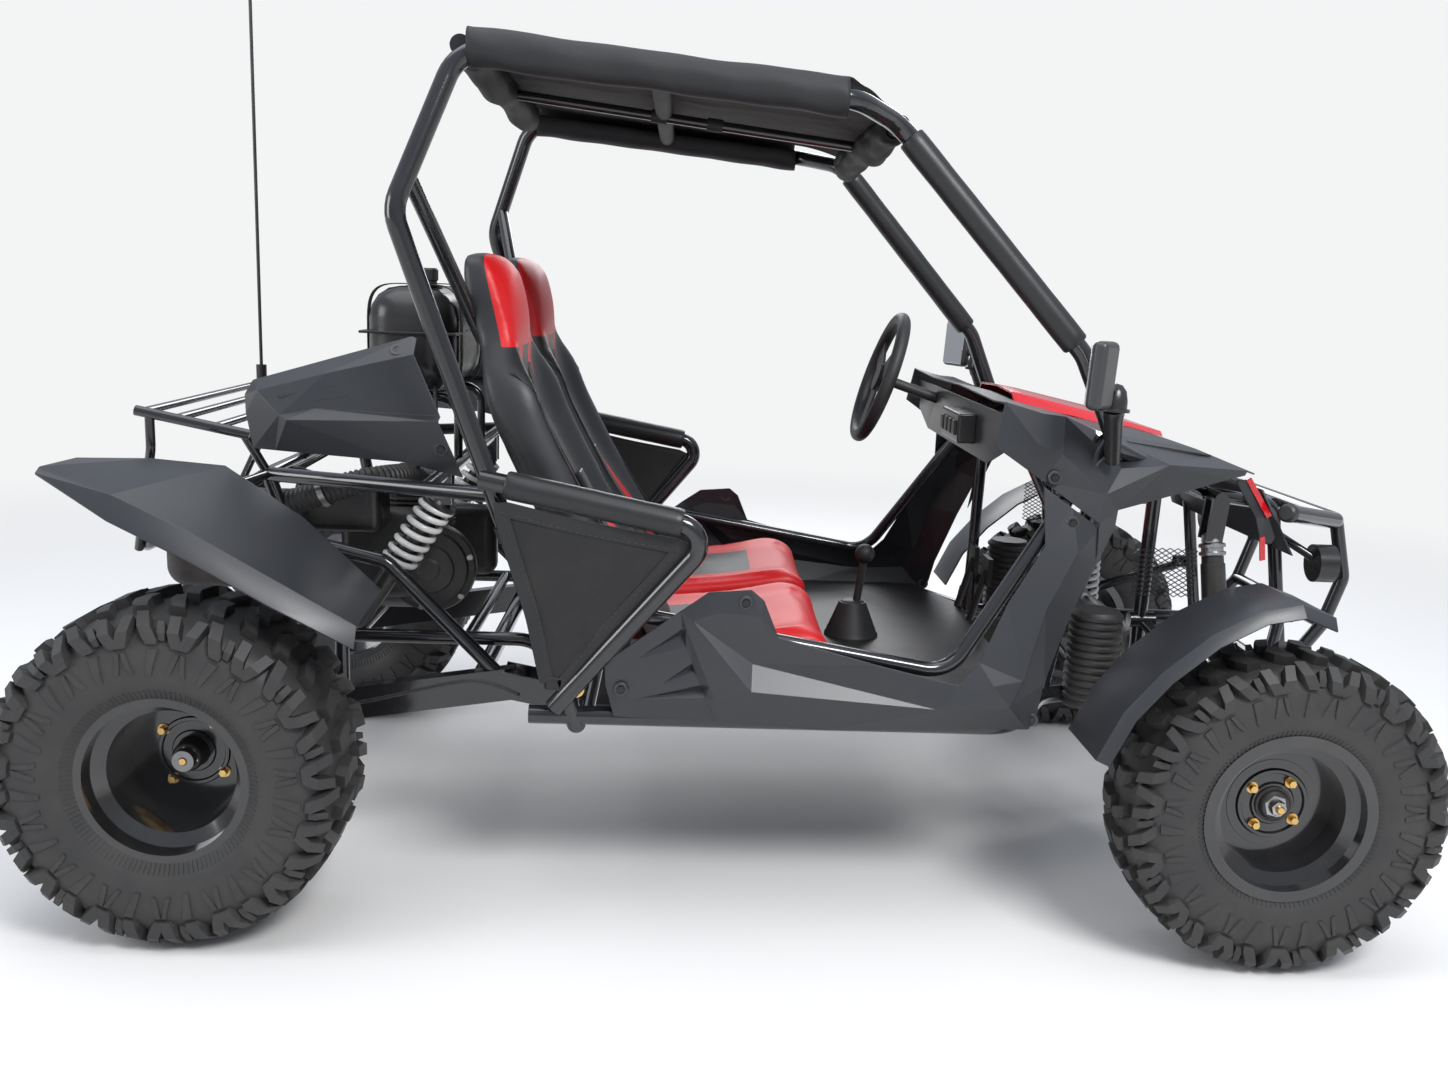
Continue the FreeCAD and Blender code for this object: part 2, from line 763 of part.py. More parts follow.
# Side panels: a moulded skin below each door opening, creased along its length, with a leg that
# runs up beside the door tube to the cowl.
SIDE_PANEL_LOW = Vector(s.panel_rear_x, s.rail_bend_y + s.tube_dia / 2 + s.weld_gap, s.panel_low_z)
SIDE_PANEL_HIGH = Vector(s.wheelbase - s.panel_front_back, s.panel_half, s.panel_high_z)
side_panel_shares = (
    ((0.00, 0.04, 0.02), (0.04, 0.75, 0.45), (0.17, 0.60, 0.96)),
    ((0.22, 0.04, 0.01), (0.20, 0.90, 0.46), (0.30, 0.62, 1.00)),
    ((0.34, 0.04, 0.00), (0.32, 1.00, 0.34), (0.36, 0.62, 0.72)),
    ((0.78, 0.04, 0.00), (0.74, 0.85, 0.24), (0.745, 0.70, 0.44)),
    ((0.93, 0.04, 0.00), (0.90, 0.75, 0.24), (0.82, 0.70, 0.52)),
    ((0.98, -0.30, 0.15), (0.93, 0.32, 0.39), (0.85, 0.27, 0.67)),
    ((1.05, -0.88, 0.86), (0.97, -0.03, 0.90), (0.89, -0.14, 0.94)),
    ((1.10, -1.10, 1.22), (1.04, -0.37, 1.29), (0.968, -0.44, 1.34)),
    ((1.115, -1.06, 1.39), (1.056, -0.65, 1.52), (0.979, -0.78, 1.61)),
)
panel_stations = [[box_point(SIDE_PANEL_LOW, SIDE_PANEL_HIGH, share) for share in row]
                  for row in side_panel_shares]
side_panel = wall_grid(panel_stations, s.panel_thick)
keep("side_panels", pair(without(side_panel, [lower_frame])))

# Front cowl: the moulded skin from the dash to the nose, arched over both front wheels.
cowl_shares = (
    ((0.00, 0.00, 0.98), (0.00, 0.62, 0.93), (-0.09, 0.88, 0.99), (0.00, 0.97, 0.62), (0.08, 1.00, 0.30)),
    ((0.22, 0.00, 0.86), (0.22, 0.62, 0.76), (0.19, 0.90, 0.62), (0.19, 1.01, 0.32), (0.20, 1.04, 0.00)),
    ((0.36, 0.00, 0.77), (0.36, 0.60, 0.66), (0.34, 0.90, 0.52), (0.36, 0.98, 0.32), (0.33, 1.03, -0.29)),
    ((0.50, 0.00, 0.68), (0.50, 0.58, 0.56), (0.50, 0.88, 0.47), (0.50, 0.96, 0.43), (0.46, 0.98, 0.06)),
    ((0.76, 0.00, 0.46), (0.76, 0.54, 0.44), (0.74, 0.82, 0.42), (0.72, 0.89, 0.39), (0.70, 0.90, 0.23)),
    ((1.00, 0.00, 0.16), (1.00, 0.50, 0.16), (0.95, 0.68, 0.22), (0.90, 0.75, 0.30), (0.87, 0.76, 0.20)),
)
cowl_gap_share = 1.5
COWL_LOW = Vector(s.wheelbase - s.dash_back + cowl_gap_share * s.panel_thick, 0, s.cowl_low_z)
COWL_HIGH = Vector(s.wheelbase + s.cowl_reach, s.cowl_half, s.cowl_high_z)


def both_sides(points):
    """A half section completed across the centre plane, from left to right."""
    left = points[::-1]
    right = [Vector(point.x, -point.y, point.z) for point in points if point.y > 0]
    return left + right


cowl_stations = [both_sides([box_point(COWL_LOW, COWL_HIGH, share) for share in row])
                 for row in cowl_shares]
cowl = wall_grid(cowl_stations, s.panel_thick)
keep("front_cowl", cowl.cut(Part.makeCompound([roll_cage, lower_frame, front_frame])))

# Hood insert: the raised coloured panel in the middle of the cowl.
insert_rows_share = (0.14, 0.22, 0.50, 0.76)
insert_half_shares = (0.34, 0.33, 0.29, 0.18)
insert_shoulder_share = 0.8
insert_rise_shares = (0.10, 0.10, 0.09, 0.06)


def cowl_height_share(ahead, out):
    """How high the cowl's skin stands at a share of its length and of its half width."""
    heights = []
    for row in cowl_shares:
        for near, far in zip(row, row[1:]):
            if near[1] <= out <= far[1]:
                heights.append((row[0][0], between(near[2], far[2], (out - near[1]) / (far[1] - near[1]))))
    for near, far in zip(heights, heights[1:]):
        if near[0] <= ahead <= far[0]:
            return between(near[1], far[1], (ahead - near[0]) / (far[0] - near[0]))
    raise ValueError("outside the cowl")


insert_stations = []
for ahead, half, rise in zip(insert_rows_share, insert_half_shares, insert_rise_shares):
    shoulder = half * insert_shoulder_share
    skin_half_share = s.panel_thick / 2 / (s.cowl_high_z - s.cowl_low_z)
    insert_stations.append(both_sides([box_point(COWL_LOW, COWL_HIGH, share) for share in (
        (ahead, 0.0, cowl_height_share(ahead, 0.0) + rise),
        (ahead, shoulder, cowl_height_share(ahead, shoulder) + rise),
        (ahead, half, cowl_height_share(ahead, half) - skin_half_share),
    )]))
hood_insert = wall_grid(insert_stations, s.panel_thick).cut(cowl)
keep("hood_insert", max(hood_insert.Solids, key=lambda part: part.Volume))

# Nose panel below the front edge of the cowl, with the lamps beside it.
nose_low = Vector(s.wheelbase + s.cowl_reach, 0, s.nose_low_z)
nose_high = Vector(s.wheelbase + s.nose_reach, s.nose_half, s.cowl_low_z)
nose_shares = ((0.0, 0.9, 1.0), (1.0, 1.0, 0.0), (1.0, -1.0, 0.0), (0.0, -0.9, 1.0))
nose_points = [box_point(nose_low, nose_high, share) for share in nose_shares]
nose_panel = plate(nose_points, Vector(s.panel_thick, 0, 0))
keep("nose_panel", nose_panel.cut(front_frame))

# Dash panel across the cabin, under the back edge of the cowl.
dash = new_body("dash_blank")
PIECES.remove(dash)
dash_waist_shares = (0.98, 0.35)
dash_foot_share = 0.7
waist_out, waist_rise = dash_waist_shares
dash_waist_z = f"sizes.dash_low_z + {waist_rise} * (sizes.dash_top_z - sizes.dash_low_z)"
dash_points = [
    ("sizes.dash_half", "sizes.dash_top_z"),
    (f"sizes.dash_half * {waist_out}", dash_waist_z),
    (f"sizes.dash_half * {dash_foot_share}", "sizes.dash_low_z"),
    (f"-sizes.dash_half * {dash_foot_share}", "sizes.dash_low_z"),
    (f"-sizes.dash_half * {waist_out}", dash_waist_z),
    ("-sizes.dash_half", "sizes.dash_top_z"),
]
dash_sketch = outline(dash, "YZ_Plane", "dash_outline", dash_points, "sizes.wheelbase - sizes.dash_back")
pad(dash, dash_sketch, "dash_sheet", "sizes.panel_thick")

# Seats: a tall bucket back with side rolls and a narrow headrest, and a hollowed cushion.
# Each back row gives the front, rear, height, half width and roll as shares of the seat.
seat_back_rows = (
    (0.498, 0.434, 0.04, 0.95, 0.20), (0.468, 0.392, 0.13, 0.96, 0.36), (0.425, 0.335, 0.25, 0.98, 0.45),
    (0.366, 0.268, 0.38, 0.99, 0.51), (0.299, 0.200, 0.51, 1.00, 0.53), (0.232, 0.133, 0.63, 1.00, 0.47),
    (0.181, 0.079, 0.73, 0.95, 0.36), (0.156, 0.080, 0.80, 0.73, 0.22), (0.130, 0.036, 0.86, 0.60, 0.11),
    (0.094, 0.002, 0.97, 0.56, 0.05), (0.066, 0.002, 1.02, 0.47, 0.04),
)
seat_cushion_rows = (
    (0.42, 0.56, 0.92), (0.53, 0.66, 0.97), (0.72, 0.78, 1.00), (0.90, 0.94, 1.00), (1.00, 0.86, 0.92),
)
seat_across_shares = ((-1.0, 0.1), (-0.88, 1.0), (-0.6, 0.0), (0.6, 0.0), (0.88, 1.0), (1.0, 0.1))
seat_lean_share = 0.22
cushion_roll_share = 0.16
cushion_skirt_share = 0.94


def ring_solid(rings):
    """A closed solid through flat rings of points, with a flat end on the first and last."""
    faces = [Part.Face(Part.makePolygon(ring + ring[:1])) for ring in (rings[0], rings[-1])]
    for near, far in zip(rings, rings[1:]):
        for index in range(len(near)):
            after = (index + 1) % len(near)
            faces = faces + patch([near[index], near[after], far[after], far[index]])
    shell = Part.makeShell(faces)
    shell.sewShape()
    solid = Part.makeSolid(shell)
    if solid.Volume < 0:
        solid.reverse()
    return solid


def seat(side):
    """A seat as a back with side rolls and a cushion that meets it."""
    middle = side * s.seat_half
    low, top = place("seat_back_low"), place("seat_back_top")
    back = []
    for front, rear, rise, width, roll in seat_back_rows:
        x_front, x_rear = (between(top.x, s.cushion_front_x, share) for share in (front, rear))
        half = s.seat_width / 2 * width
        ring = [(x_front + roll * s.seat_back_thick * lift, out * half) for out, lift in seat_across_shares]
        ring += [(x_rear, half), (x_rear, -half)]
        z = between(low.z, top.z, rise)
        back.append([Vector(x, middle + y, z + seat_lean_share * (x_front - x)) for x, y in ring])
    cushion = []
    for ahead, rise, width in seat_cushion_rows:
        x = between(top.x, s.cushion_front_x, ahead)
        half = s.seat_width / 2 * width
        z = between(floor_face, s.cushion_top_z, rise)
        roll = cushion_roll_share * (s.cushion_top_z - floor_face)
        ring = [(out * half, z + (lift - 1) * roll) for out, lift in seat_across_shares]
        foot = half * cushion_skirt_share
        ring += [(foot, floor_face), (-foot, floor_face)]
        cushion.append([Vector(x, middle + y, height) for y, height in ring])
    return fused([ring_solid(back), ring_solid(cushion)])


keep("seats", Part.makeCompound([seat(side) for side in SIDES.values()]))

# Fuel tank, air box, engine and silencer behind the seats.
def rounded_box(name, low, high, radius, seats=None):
    """A box feature between named corners, its edges rounded; a seat replaces a corner's value."""
    core = doc.addObject("Part::Box", f"{name}_block")
    seats = seats or {}
    for prop, axis in (("Length", "x"), ("Width", "y"), ("Height", "z")):
        first = seats.get(f"low_{axis}", f"sizes.{low}_{axis}")
        last = seats.get(f"high_{axis}", f"sizes.{high}_{axis}")
        core.setExpression(prop, f"{last} - ({first})")
        core.setExpression(f"Placement.Base.{axis}", f"{first} + sizes.rear_axle_x" if axis == "x" else first)
    doc.recompute()
    edge = doc.addObject("Part::Fillet", name)
    edge.Label = name
    edge.Base = core
    edge.Edges = [(index + 1, radius, radius) for index in range(len(core.Shape.Edges))]
    PIECES.append(edge)
    return edge


rounded_box("fuel_tank", "tank_low", "tank_high", s.tank_round)
rounded_box("engine_block", "engine_low", "engine_high", s.engine_round,
            {"low_z": "sizes.rear_lower_z + sizes.arm_tube_dia / 2 + sizes.weld_gap"})
rounded_box("air_box", "air_box_low", "air_box_high", s.air_box_round,
            {"high_y": "sizes.engine_low_y - sizes.weld_gap"})
rounded_box("muffler", "muffler_low", "muffler_high", s.muffler_round,
            {"low_x": "sizes.rear_loop_x + sizes.thin_tube_dia / 2 + sizes.weld_gap"})

# Rear covers: the angular skins beside the tank.
COVER_LOW = Vector(s.cover_rear_x, s.cover_inner, s.cover_low_z)
COVER_HIGH = Vector(s.cover_front_x, s.cover_outer, s.cover_high_z)
cover_shares = (
    ((0.00, 0.00, 0.68), (0.02, 0.60, 0.52), (0.04, 0.40, 0.14)),
    ((0.25, 0.00, 0.78), (0.25, 0.95, 0.44), (0.25, 0.50, 0.06)),
    ((0.80, 0.00, 0.99), (0.82, 1.00, 0.46), (0.84, 0.90, 0.00)),
    ((0.95, 0.00, 0.98), (1.00, 0.95, 0.40), (1.02, 1.16, -0.03)),
)
cover_stations = [[box_point(COVER_LOW, COVER_HIGH, share) for share in row][::-1]
                  for row in cover_shares]
rear_cover = wall_grid(cover_stations, s.panel_thick)
rear_cover = max(rear_cover.cut([rear_frame, roll_cage]).Solids, key=lambda part: part.Volume)
keep("rear_covers", pair(rear_cover))

# Luggage rack on the rear frame: two side tubes joined by bars, on four feet.
rack_rear = place("rack_rear")
rack_front = place("rack_front")
rack_bar_shares = (0.06, 0.34, 0.68)
rack_foot_shares = (0.12, 0.94)
rack_parts = []
for share in rack_bar_shares:
    rack_parts.append(cross_tube(along(rack_rear, rack_front, share), s.rack_bar_dia_thin))
rack_drop = Vector(0, 0, s.rack_foot_drop)
for side in SIDES.values():
    rear = place("rack_rear", side)
    front = place("rack_front", side)
    rear_foot, front_foot = (along(rear, front, share) for share in rack_foot_shares)
    rack_parts.append(bar(rear, front, s.rack_tube_dia))
    rear_leg = [rear_foot, rear_foot - rack_drop, place("rear_loop", side)]
    rack_parts.append(tube(rear_leg, s.rod_dia, s.tight_bend))
    rack_parts.append(bar(front_foot, place("rear_upper", side), s.rod_dia))
rear_rack = without(fused(rack_parts), [rear_frame])
keep("rear_rack", rear_rack)

# Whip mast standing on the rack.
mast_foot = along(rack_rear, rack_front, rack_bar_shares[0])
mast_foot.y = s.whip_y
mast_foot_height = Vector(0, 0, s.whip_socket_height)
mast_top = mast_foot + Vector(0, 0, s.whip_length)
keep("whip_mast", without(
    fused([bar(mast_foot, mast_foot + mast_foot_height, s.whip_socket_dia),
           bar(mast_foot, mast_top, s.whip_dia)]),
    [rear_rack]))

# Swing arm: two side frames with axle carriers, joined by a cross tube near the pivot.
axle_centre_z = s.rear_tyre_dia / 2
swing_parts = []
swing_cross_share = 0.14
swing_root_share = 0.03
carrier_cuts = []
for side in SIDES.values():
    pivot = place("swing_pivot", side)
    centre = Vector(0, side * s.carrier_y, axle_centre_z)
    half = Vector(0, s.carrier_width / 2, 0)
    beam_drop = Vector(0, 0, s.swing_beam_height / 2)
    beam_side = Vector(0, s.swing_beam_width, 0)
    beam = [pivot - beam_drop, pivot + beam_drop, centre + beam_drop, centre - beam_drop]
    swing_parts.append(plate([point - beam_side / 2 for point in beam], beam_side))
    swing_parts.append(bar(centre - half, centre + half, s.carrier_dia))
    swing_parts.append(tube([along(pivot, centre, swing_root_share), place("swing_peak", side),
                             place("swing_back", side), centre], s.thin_tube_dia, s.tight_bend))
    mount = place("shock_rear_low", side)
    strut_low = along(pivot, centre, 1 - mount.x / pivot.x)
    strut_high = Vector(mount.x, strut_low.y, s.swing_peak_z)
    swing_parts.append(bar(strut_low, strut_high, s.thin_tube_dia))
    swing_parts.append(bar(mount - Vector(0, side * s.eye_width / 2, 0),
                           Vector(mount.x, strut_low.y, mount.z), s.rod_dia))
    carrier_cuts.append(bar(centre - half * 2, centre + half * 2, s.axle_dia + 2 * s.bead_clearance))
swing_left = place("swing_pivot")
swing_parts.append(cross_tube(along(swing_left, Vector(0, s.carrier_y, axle_centre_z), swing_cross_share),
                              s.tube_dia))
for side in SIDES.values():
    pivot = place("swing_pivot", side)
    half = Vector(0, s.pivot_width / 2, 0)
    swing_parts.append(bar(pivot - half, pivot + half, s.pivot_dia))
swing_arm = without(fused(swing_parts), carrier_cuts)
keep("swing_arm", swing_arm)

# Springs: a damper body and rod inside each white coil, eye to eye.
coil_root_share = 0.78
coil_crest_share = 0.36
damper_body_share = 0.5


def coil_form(low, high, dia, turns):
    """A stack of turned crests and grooves that fills the space of a coil."""
    reach = high - low
    pitch = reach.Length / turns
    points = [Vector(0, 0, 0), Vector(dia / 2 * coil_root_share, 0, 0)]
    for turn in range(turns):
        foot = pitch * turn
        points.append(Vector(dia / 2, 0, foot + pitch * (1 - coil_crest_share) / 2))
        points.append(Vector(dia / 2, 0, foot + pitch * (1 + coil_crest_share) / 2))
        points.append(Vector(dia / 2 * coil_root_share, 0, foot + pitch))
    points.append(Vector(0, 0, reach.Length))
    blank = Part.Face(Part.makePolygon(points + points[:1]))
    coil = blank.revolve(Vector(0, 0, 0), Vector(0, 0, 1), 360)
    coil.Placement = Placement(low, Rotation(Vector(0, 0, 1), reach))
    return coil


def damper(top, low, coil_dia, body_dia, rod_dia, coil_shares, turns):
    """A spring and damper unit between two eyes."""
    ends = [bar(end - Vector(0, s.eye_width / 2, 0), end + Vector(0, s.eye_width / 2, 0), s.eye_dia)
            for end in (top, low)]
    first, last = (along(top, low, share) for share in coil_shares)
    return fused(ends + [
        bar(top, low, rod_dia),
        bar(top, along(top, low, damper_body_share), body_dia),
        coil_form(last, first, coil_dia, turns),
    ])


rear_coil_shares = (0.10, 0.55)
front_coil_shares = (0.46, 0.88)
rear_coil_turns = 6
front_coil_turns = 7
rear_shock = damper(place("shock_rear_top"), place("shock_rear_low"), s.rear_spring_dia,
                    s.rear_damper_dia, s.rod_dia, rear_coil_shares, rear_coil_turns)
keep("rear_shocks", pair(without(rear_shock, [swing_arm, rear_frame])))
front_shock_low = Vector(s.wheelbase - s.shock_low_back, s.kingpin_half - s.shock_low_inset, s.shock_low_z)
front_shock = damper(place("shock_front_top"), front_shock_low, s.front_spring_dia,
                     s.front_sleeve_dia, s.rod_dia, front_coil_shares, front_coil_turns)
front_shock = without(front_shock, [front_frame])
keep("front_shocks", pair(front_shock))

# Suspension arms: an upper and a lower wishbone on each side, with the ball joint at the tip.
axle_x = s.wheelbase
front_track = s.kingpin_half + s.wheel_offset
front_axle_z = s.front_tyre_dia / 2
joint_low = Vector(axle_x, s.kingpin_half, front_axle_z - s.kingpin_rise)
joint_high = Vector(axle_x, s.kingpin_half, front_axle_z + s.kingpin_rise)


def wishbone(tip, rear, front, way):
    """Two legs from a ball joint to their barrels on the frame, with a stud up or down into the knuckle."""
    half = Vector(s.barrel_length / 2, 0, 0)
    stud = Vector(0, 0, way * (s.ball_joint_dia / 2 + s.stud_length))
    return fused([
        bar(tip, rear, s.arm_tube_dia),
        bar(tip, front, s.arm_tube_dia),
        bar(rear - half, rear + half, s.barrel_dia),
        bar(front - half, front + half, s.barrel_dia),
        Part.makeSphere(s.ball_joint_dia / 2, tip),
        bar(tip, tip + stud, s.stud_dia),
    ])


upper_arm = wishbone(joint_high, place("arm_rear_pivot"), place("arm_front_pivot"), -1)
lower_arm = wishbone(joint_low, place("low_arm_rear_pivot"), place("low_arm_front_pivot"), 1)
upper_arm = without(upper_arm, [front_frame, lower_frame])
lower_arm = without(lower_arm, [front_frame, lower_frame, front_shock])
keep("suspension_arms", Part.makeCompound([upper_arm, lower_arm, mirrored(upper_arm), mirrored(lower_arm)]))

# Front bumper: a trapezoid bar with two legs down to the bottom rails.
bumper_parts = [tube([place("bumper_cap"), place("bumper_corner"), place("bumper_corner", -1),
                      place("bumper_cap", -1)], s.tube_dia, s.tight_bend)]
for side in SIDES.values():
    leg = [place(name, side) for name in ("bumper_corner", "bumper_knee", "bumper_low", "rail_front")]
    bumper_parts.append(tube(leg, s.thin_tube_dia, s.tight_bend))
bumper_parts.append(cross_tube(place("bumper_low"), s.thin_tube_dia))
front_bumper = without(fused(bumper_parts), [lower_frame, front_frame])
keep("front_bumper", front_bumper)

# Knuckles: kingpin posts with the stub axle outwards and the steering arm backwards.
def knuckle(side):
    """An upright that turns about the kingpin and carries the stub axle."""
    gap = Vector(0, 0, s.ball_joint_dia / 2 + s.joint_room)
    low = Vector(axle_x, side * s.kingpin_half, joint_low.z) + gap
    high = Vector(axle_x, side * s.kingpin_half, joint_high.z) - gap
    centre = Vector(axle_x, side * s.kingpin_half, front_axle_z)
    outer = Vector(axle_x, side * (front_track + s.stub_reach), front_axle_z)
    half = Vector(0, 0, s.arm_eye_height / 2)
    arm_root = high - half
    arm_tip = arm_root - Vector(s.steer_arm, 0, 0)
    stay = [
        Vector(axle_x - s.stay_back, side * s.kingpin_half, front_axle_z),
        Vector(axle_x - s.stay_back, side * s.kingpin_half, s.stay_z),
        Vector(axle_x - s.stay_back, side * (front_track - s.stay_inset), s.stay_z + s.stay_rise),
    ]
    upright = fused([
        bar(low, high, s.knuckle_dia),
        bar(centre, outer, s.stub_axle_dia),
        bar(arm_root, arm_tip, s.rod_dia),
        bar(arm_tip - half, arm_tip + half, s.eye_dia),
        bar(centre, stay[0], s.stay_root_dia),
        tube(stay, s.rod_dia, s.tight_bend),
    ])
    bore = s.stud_dia + 2 * s.running_clearance
    depth = Vector(0, 0, s.stud_length + s.running_clearance)
    return without(upright, [bar(low - gap, low - gap + Vector(0, 0, s.ball_joint_dia / 2) + depth, bore),
                             bar(high + gap, high + gap - Vector(0, 0, s.ball_joint_dia / 2) - depth, bore)])


# Front fenders: blades on the knuckles that turn with the wheels.
front_fender_deg = (164, 149, 134, 118, 104, 94, 85)
front_fender_reach_shares = (0.62, 0.56, 0.52, 0.70, 0.96, 1.00, 0.56)


def front_fender(side):
    """A curved blade over the back half of a front tyre."""
    wires = []
    for degrees, share in zip(front_fender_deg, front_fender_reach_shares):
        turn = math.radians(degrees)
        reach = between(s.front_fender_near, s.front_fender_far, share)
        out = Vector(math.cos(turn), 0, math.sin(turn))
        centre = Vector(axle_x, 0, front_axle_z)
        crown = centre + out * reach
        low = centre + out * (reach - s.front_fender_lip)
        corners = [
            low + Vector(0, side * (front_track + s.front_fender_out), 0),
            crown + Vector(0, side * ((front_track + s.front_fender_out) - s.front_fender_bevel), 0),
            crown + Vector(0, side * (front_track - s.front_fender_in), 0),
        ]
        ahead = Vector(math.sin(turn), 0, -math.cos(turn)) * side
        wires.append(section(corners, s.panel_thick, ahead))
    return Part.makeLoft(wires, True, True)


for name, side in SIDES.items():
    upright = knuckle(side)
    keep(f"knuckle_{name}", upright)
    keep(f"front_fender_{name}", front_fender(side).cut(upright))

# Tie rods: the rack bar that slides through its housing, with a rod out to each knuckle arm.
arm_eye_z = joint_high.z - s.ball_joint_dia / 2 - s.joint_room - s.arm_eye_height / 2
eye_z = arm_eye_z + s.arm_eye_height / 2 + s.rod_dia / 2 + s.rod_eye_gap
rack_line = Vector(axle_x - s.steer_arm, 0, s.pinion_z)
rack_end = rack_line + Vector(0, s.rack_bar_half, 0)
rod_end = Vector(axle_x - s.steer_arm, s.kingpin_half, eye_z)
rod_half = Vector(0, 0, s.rod_dia / 2)
tie_parts = [cross_tube(rack_end, s.rack_bar_dia)]
for side in SIDES.values():
    first = Vector(rack_end.x, side * rack_end.y, rack_end.z)
    last = Vector(rod_end.x, side * rod_end.y, rod_end.z)
    tie_parts.append(bar(first, last, s.tie_rod_dia))
    tie_parts.append(bar(last - rod_half, last + rod_half, s.eye_dia))
    tie_parts.append(Part.makeSphere(s.rack_bar_dia / 2, first))
keep("tie_rods", fused(tie_parts))

housing_end = rack_line + Vector(0, s.rack_half, 0)
housing = cross_tube(housing_end, s.rack_dia + 2 * s.rack_clearance)
bore_end = housing_end + Vector(0, s.overrun, 0)
housing = housing.cut(cross_tube(bore_end, s.rack_bar_dia + 2 * s.rack_clearance))
rack_leg_share = 0.8
rack_foot_share = 0.86
legs = [bar(Vector(rack_line.x, side * s.rack_half * rack_leg_share, rack_line.z - s.rack_dia / 2),
            Vector(rack_line.x, side * s.rack_half * rack_leg_share, s.rail_bend_z), s.rod_dia)
        for side in SIDES.values()]
legs = [leg.cut(cross_tube(housing_end, s.rack_dia)) for leg in legs]
rack_foot = cross_tube(Vector(rack_line.x, s.rail_turn_y * rack_foot_share, s.rail_bend_z), s.rod_dia)
keep("steering_box", fused([housing] + legs + [rack_foot]).cut(lower_frame))

# Steering wheel: a padded rim, a three spoke plate and the upper column.
column_tilt = 18
wheel_axis = Vector(-math.cos(math.radians(column_tilt)), 0, math.sin(math.radians(column_tilt)))
hub = place("wheel_hub")
rim = Part.makeTorus((s.steering_wheel_dia - s.grip_dia) / 2, s.grip_dia / 2, hub, wheel_axis)
spokes = []
spoke_degrees = (90, 210, 330)
for degrees in spoke_degrees:
    turn = Rotation(wheel_axis, degrees)
    out = turn.multVec(Vector(0, 1, 0))
    across = wheel_axis.cross(out)
    reach = s.steering_wheel_dia / 2 - s.grip_dia / 2
    root = hub - across * (s.spoke_width / 2) - wheel_axis * (s.spoke_thick / 2)
    corners = [root, root + across * s.spoke_width, root + across * s.spoke_width + out * reach,
               root + out * reach]
    spokes.append(plate(corners, wheel_axis * s.spoke_thick))
column_end = hub - wheel_axis * s.column_length
boss = bar(hub - wheel_axis * s.hub_boss, hub + wheel_axis * (s.hub_boss / 3), s.boss_dia)
keep("steering_wheel", fused([rim, boss, bar(hub, column_end, s.column_dia)] + spokes))

# Column bracket: a sleeve round the upper column, hung from the dash tube.
sleeve_low = hub - wheel_axis * (s.column_length - s.overrun)
sleeve_high = sleeve_low + wheel_axis * s.column_sleeve_length
column_bore = s.column_dia + 2 * s.running_clearance
column_sleeve = bar(sleeve_low, sleeve_high, column_bore + 2 * s.rim_wall)
hanger_share = 0.3
hanger_top = Vector(place("dash_end").x, hub.y, s.dash_end_z)
hanger = bar(along(sleeve_low, sleeve_high, hanger_share), hanger_top, s.thin_tube_dia)
column_bracket = fused([column_sleeve, hanger]).cut(bar(hub, column_end, column_bore)).cut(lower_frame)
keep("column_bracket", column_bracket)

# Lower column from the universal joint to the pinion.
joint_gap = wheel_axis * s.joint_gap
pinion = place("pinion")
lower_start = column_end - joint_gap
lower_axis = (pinion - lower_start).normalize()
pinion_top = pinion - lower_axis * (s.rack_dia / 2 + s.joint_room)
dash_hole = bar(hub, column_end, column_bore)
doc.recompute()
dash_shape = dash.Shape.copy()
dash_shape.translate(Vector(-s.rear_axle_x, 0, 0))
keep("dash_panel", dash_shape.cut(dash_hole))
keep("lower_column", fused([
    bar(lower_start, pinion_top, s.lower_column_dia),
    Part.makeSphere(s.joint_gap - s.running_clearance, lower_start),
]))


# Wheels. A section is drawn out from the axle line and turned about it.
TRACKS = {"rear": "sizes.rear_track_half", "front": "(sizes.kingpin_half + sizes.wheel_offset)"}


# Each ring of a tyre runs round the axle: its rise from the rim lip to the crown, its width and
# its turn against the pitch, as shares. The second rise and width are those of a raised lug.
tyre_rings = (
    ((0.36, 0.985), None, 0.0),
    ((0.66, 0.93), (0.72, 1.00), 0.25),
    ((0.86, 0.80), (0.945, 0.87), 0.33),
    ((0.90, 0.50), (0.985, 0.52), 0.33),
    ((0.90, 0.38), (0.995, 0.38), 0.25),
    ((0.90, 0.0), (1.00, 0.0), 0.0),
)
shoulder_bands = (3, 4)
crown_band = 6
rim_well_shares = (0.62, 0.50)


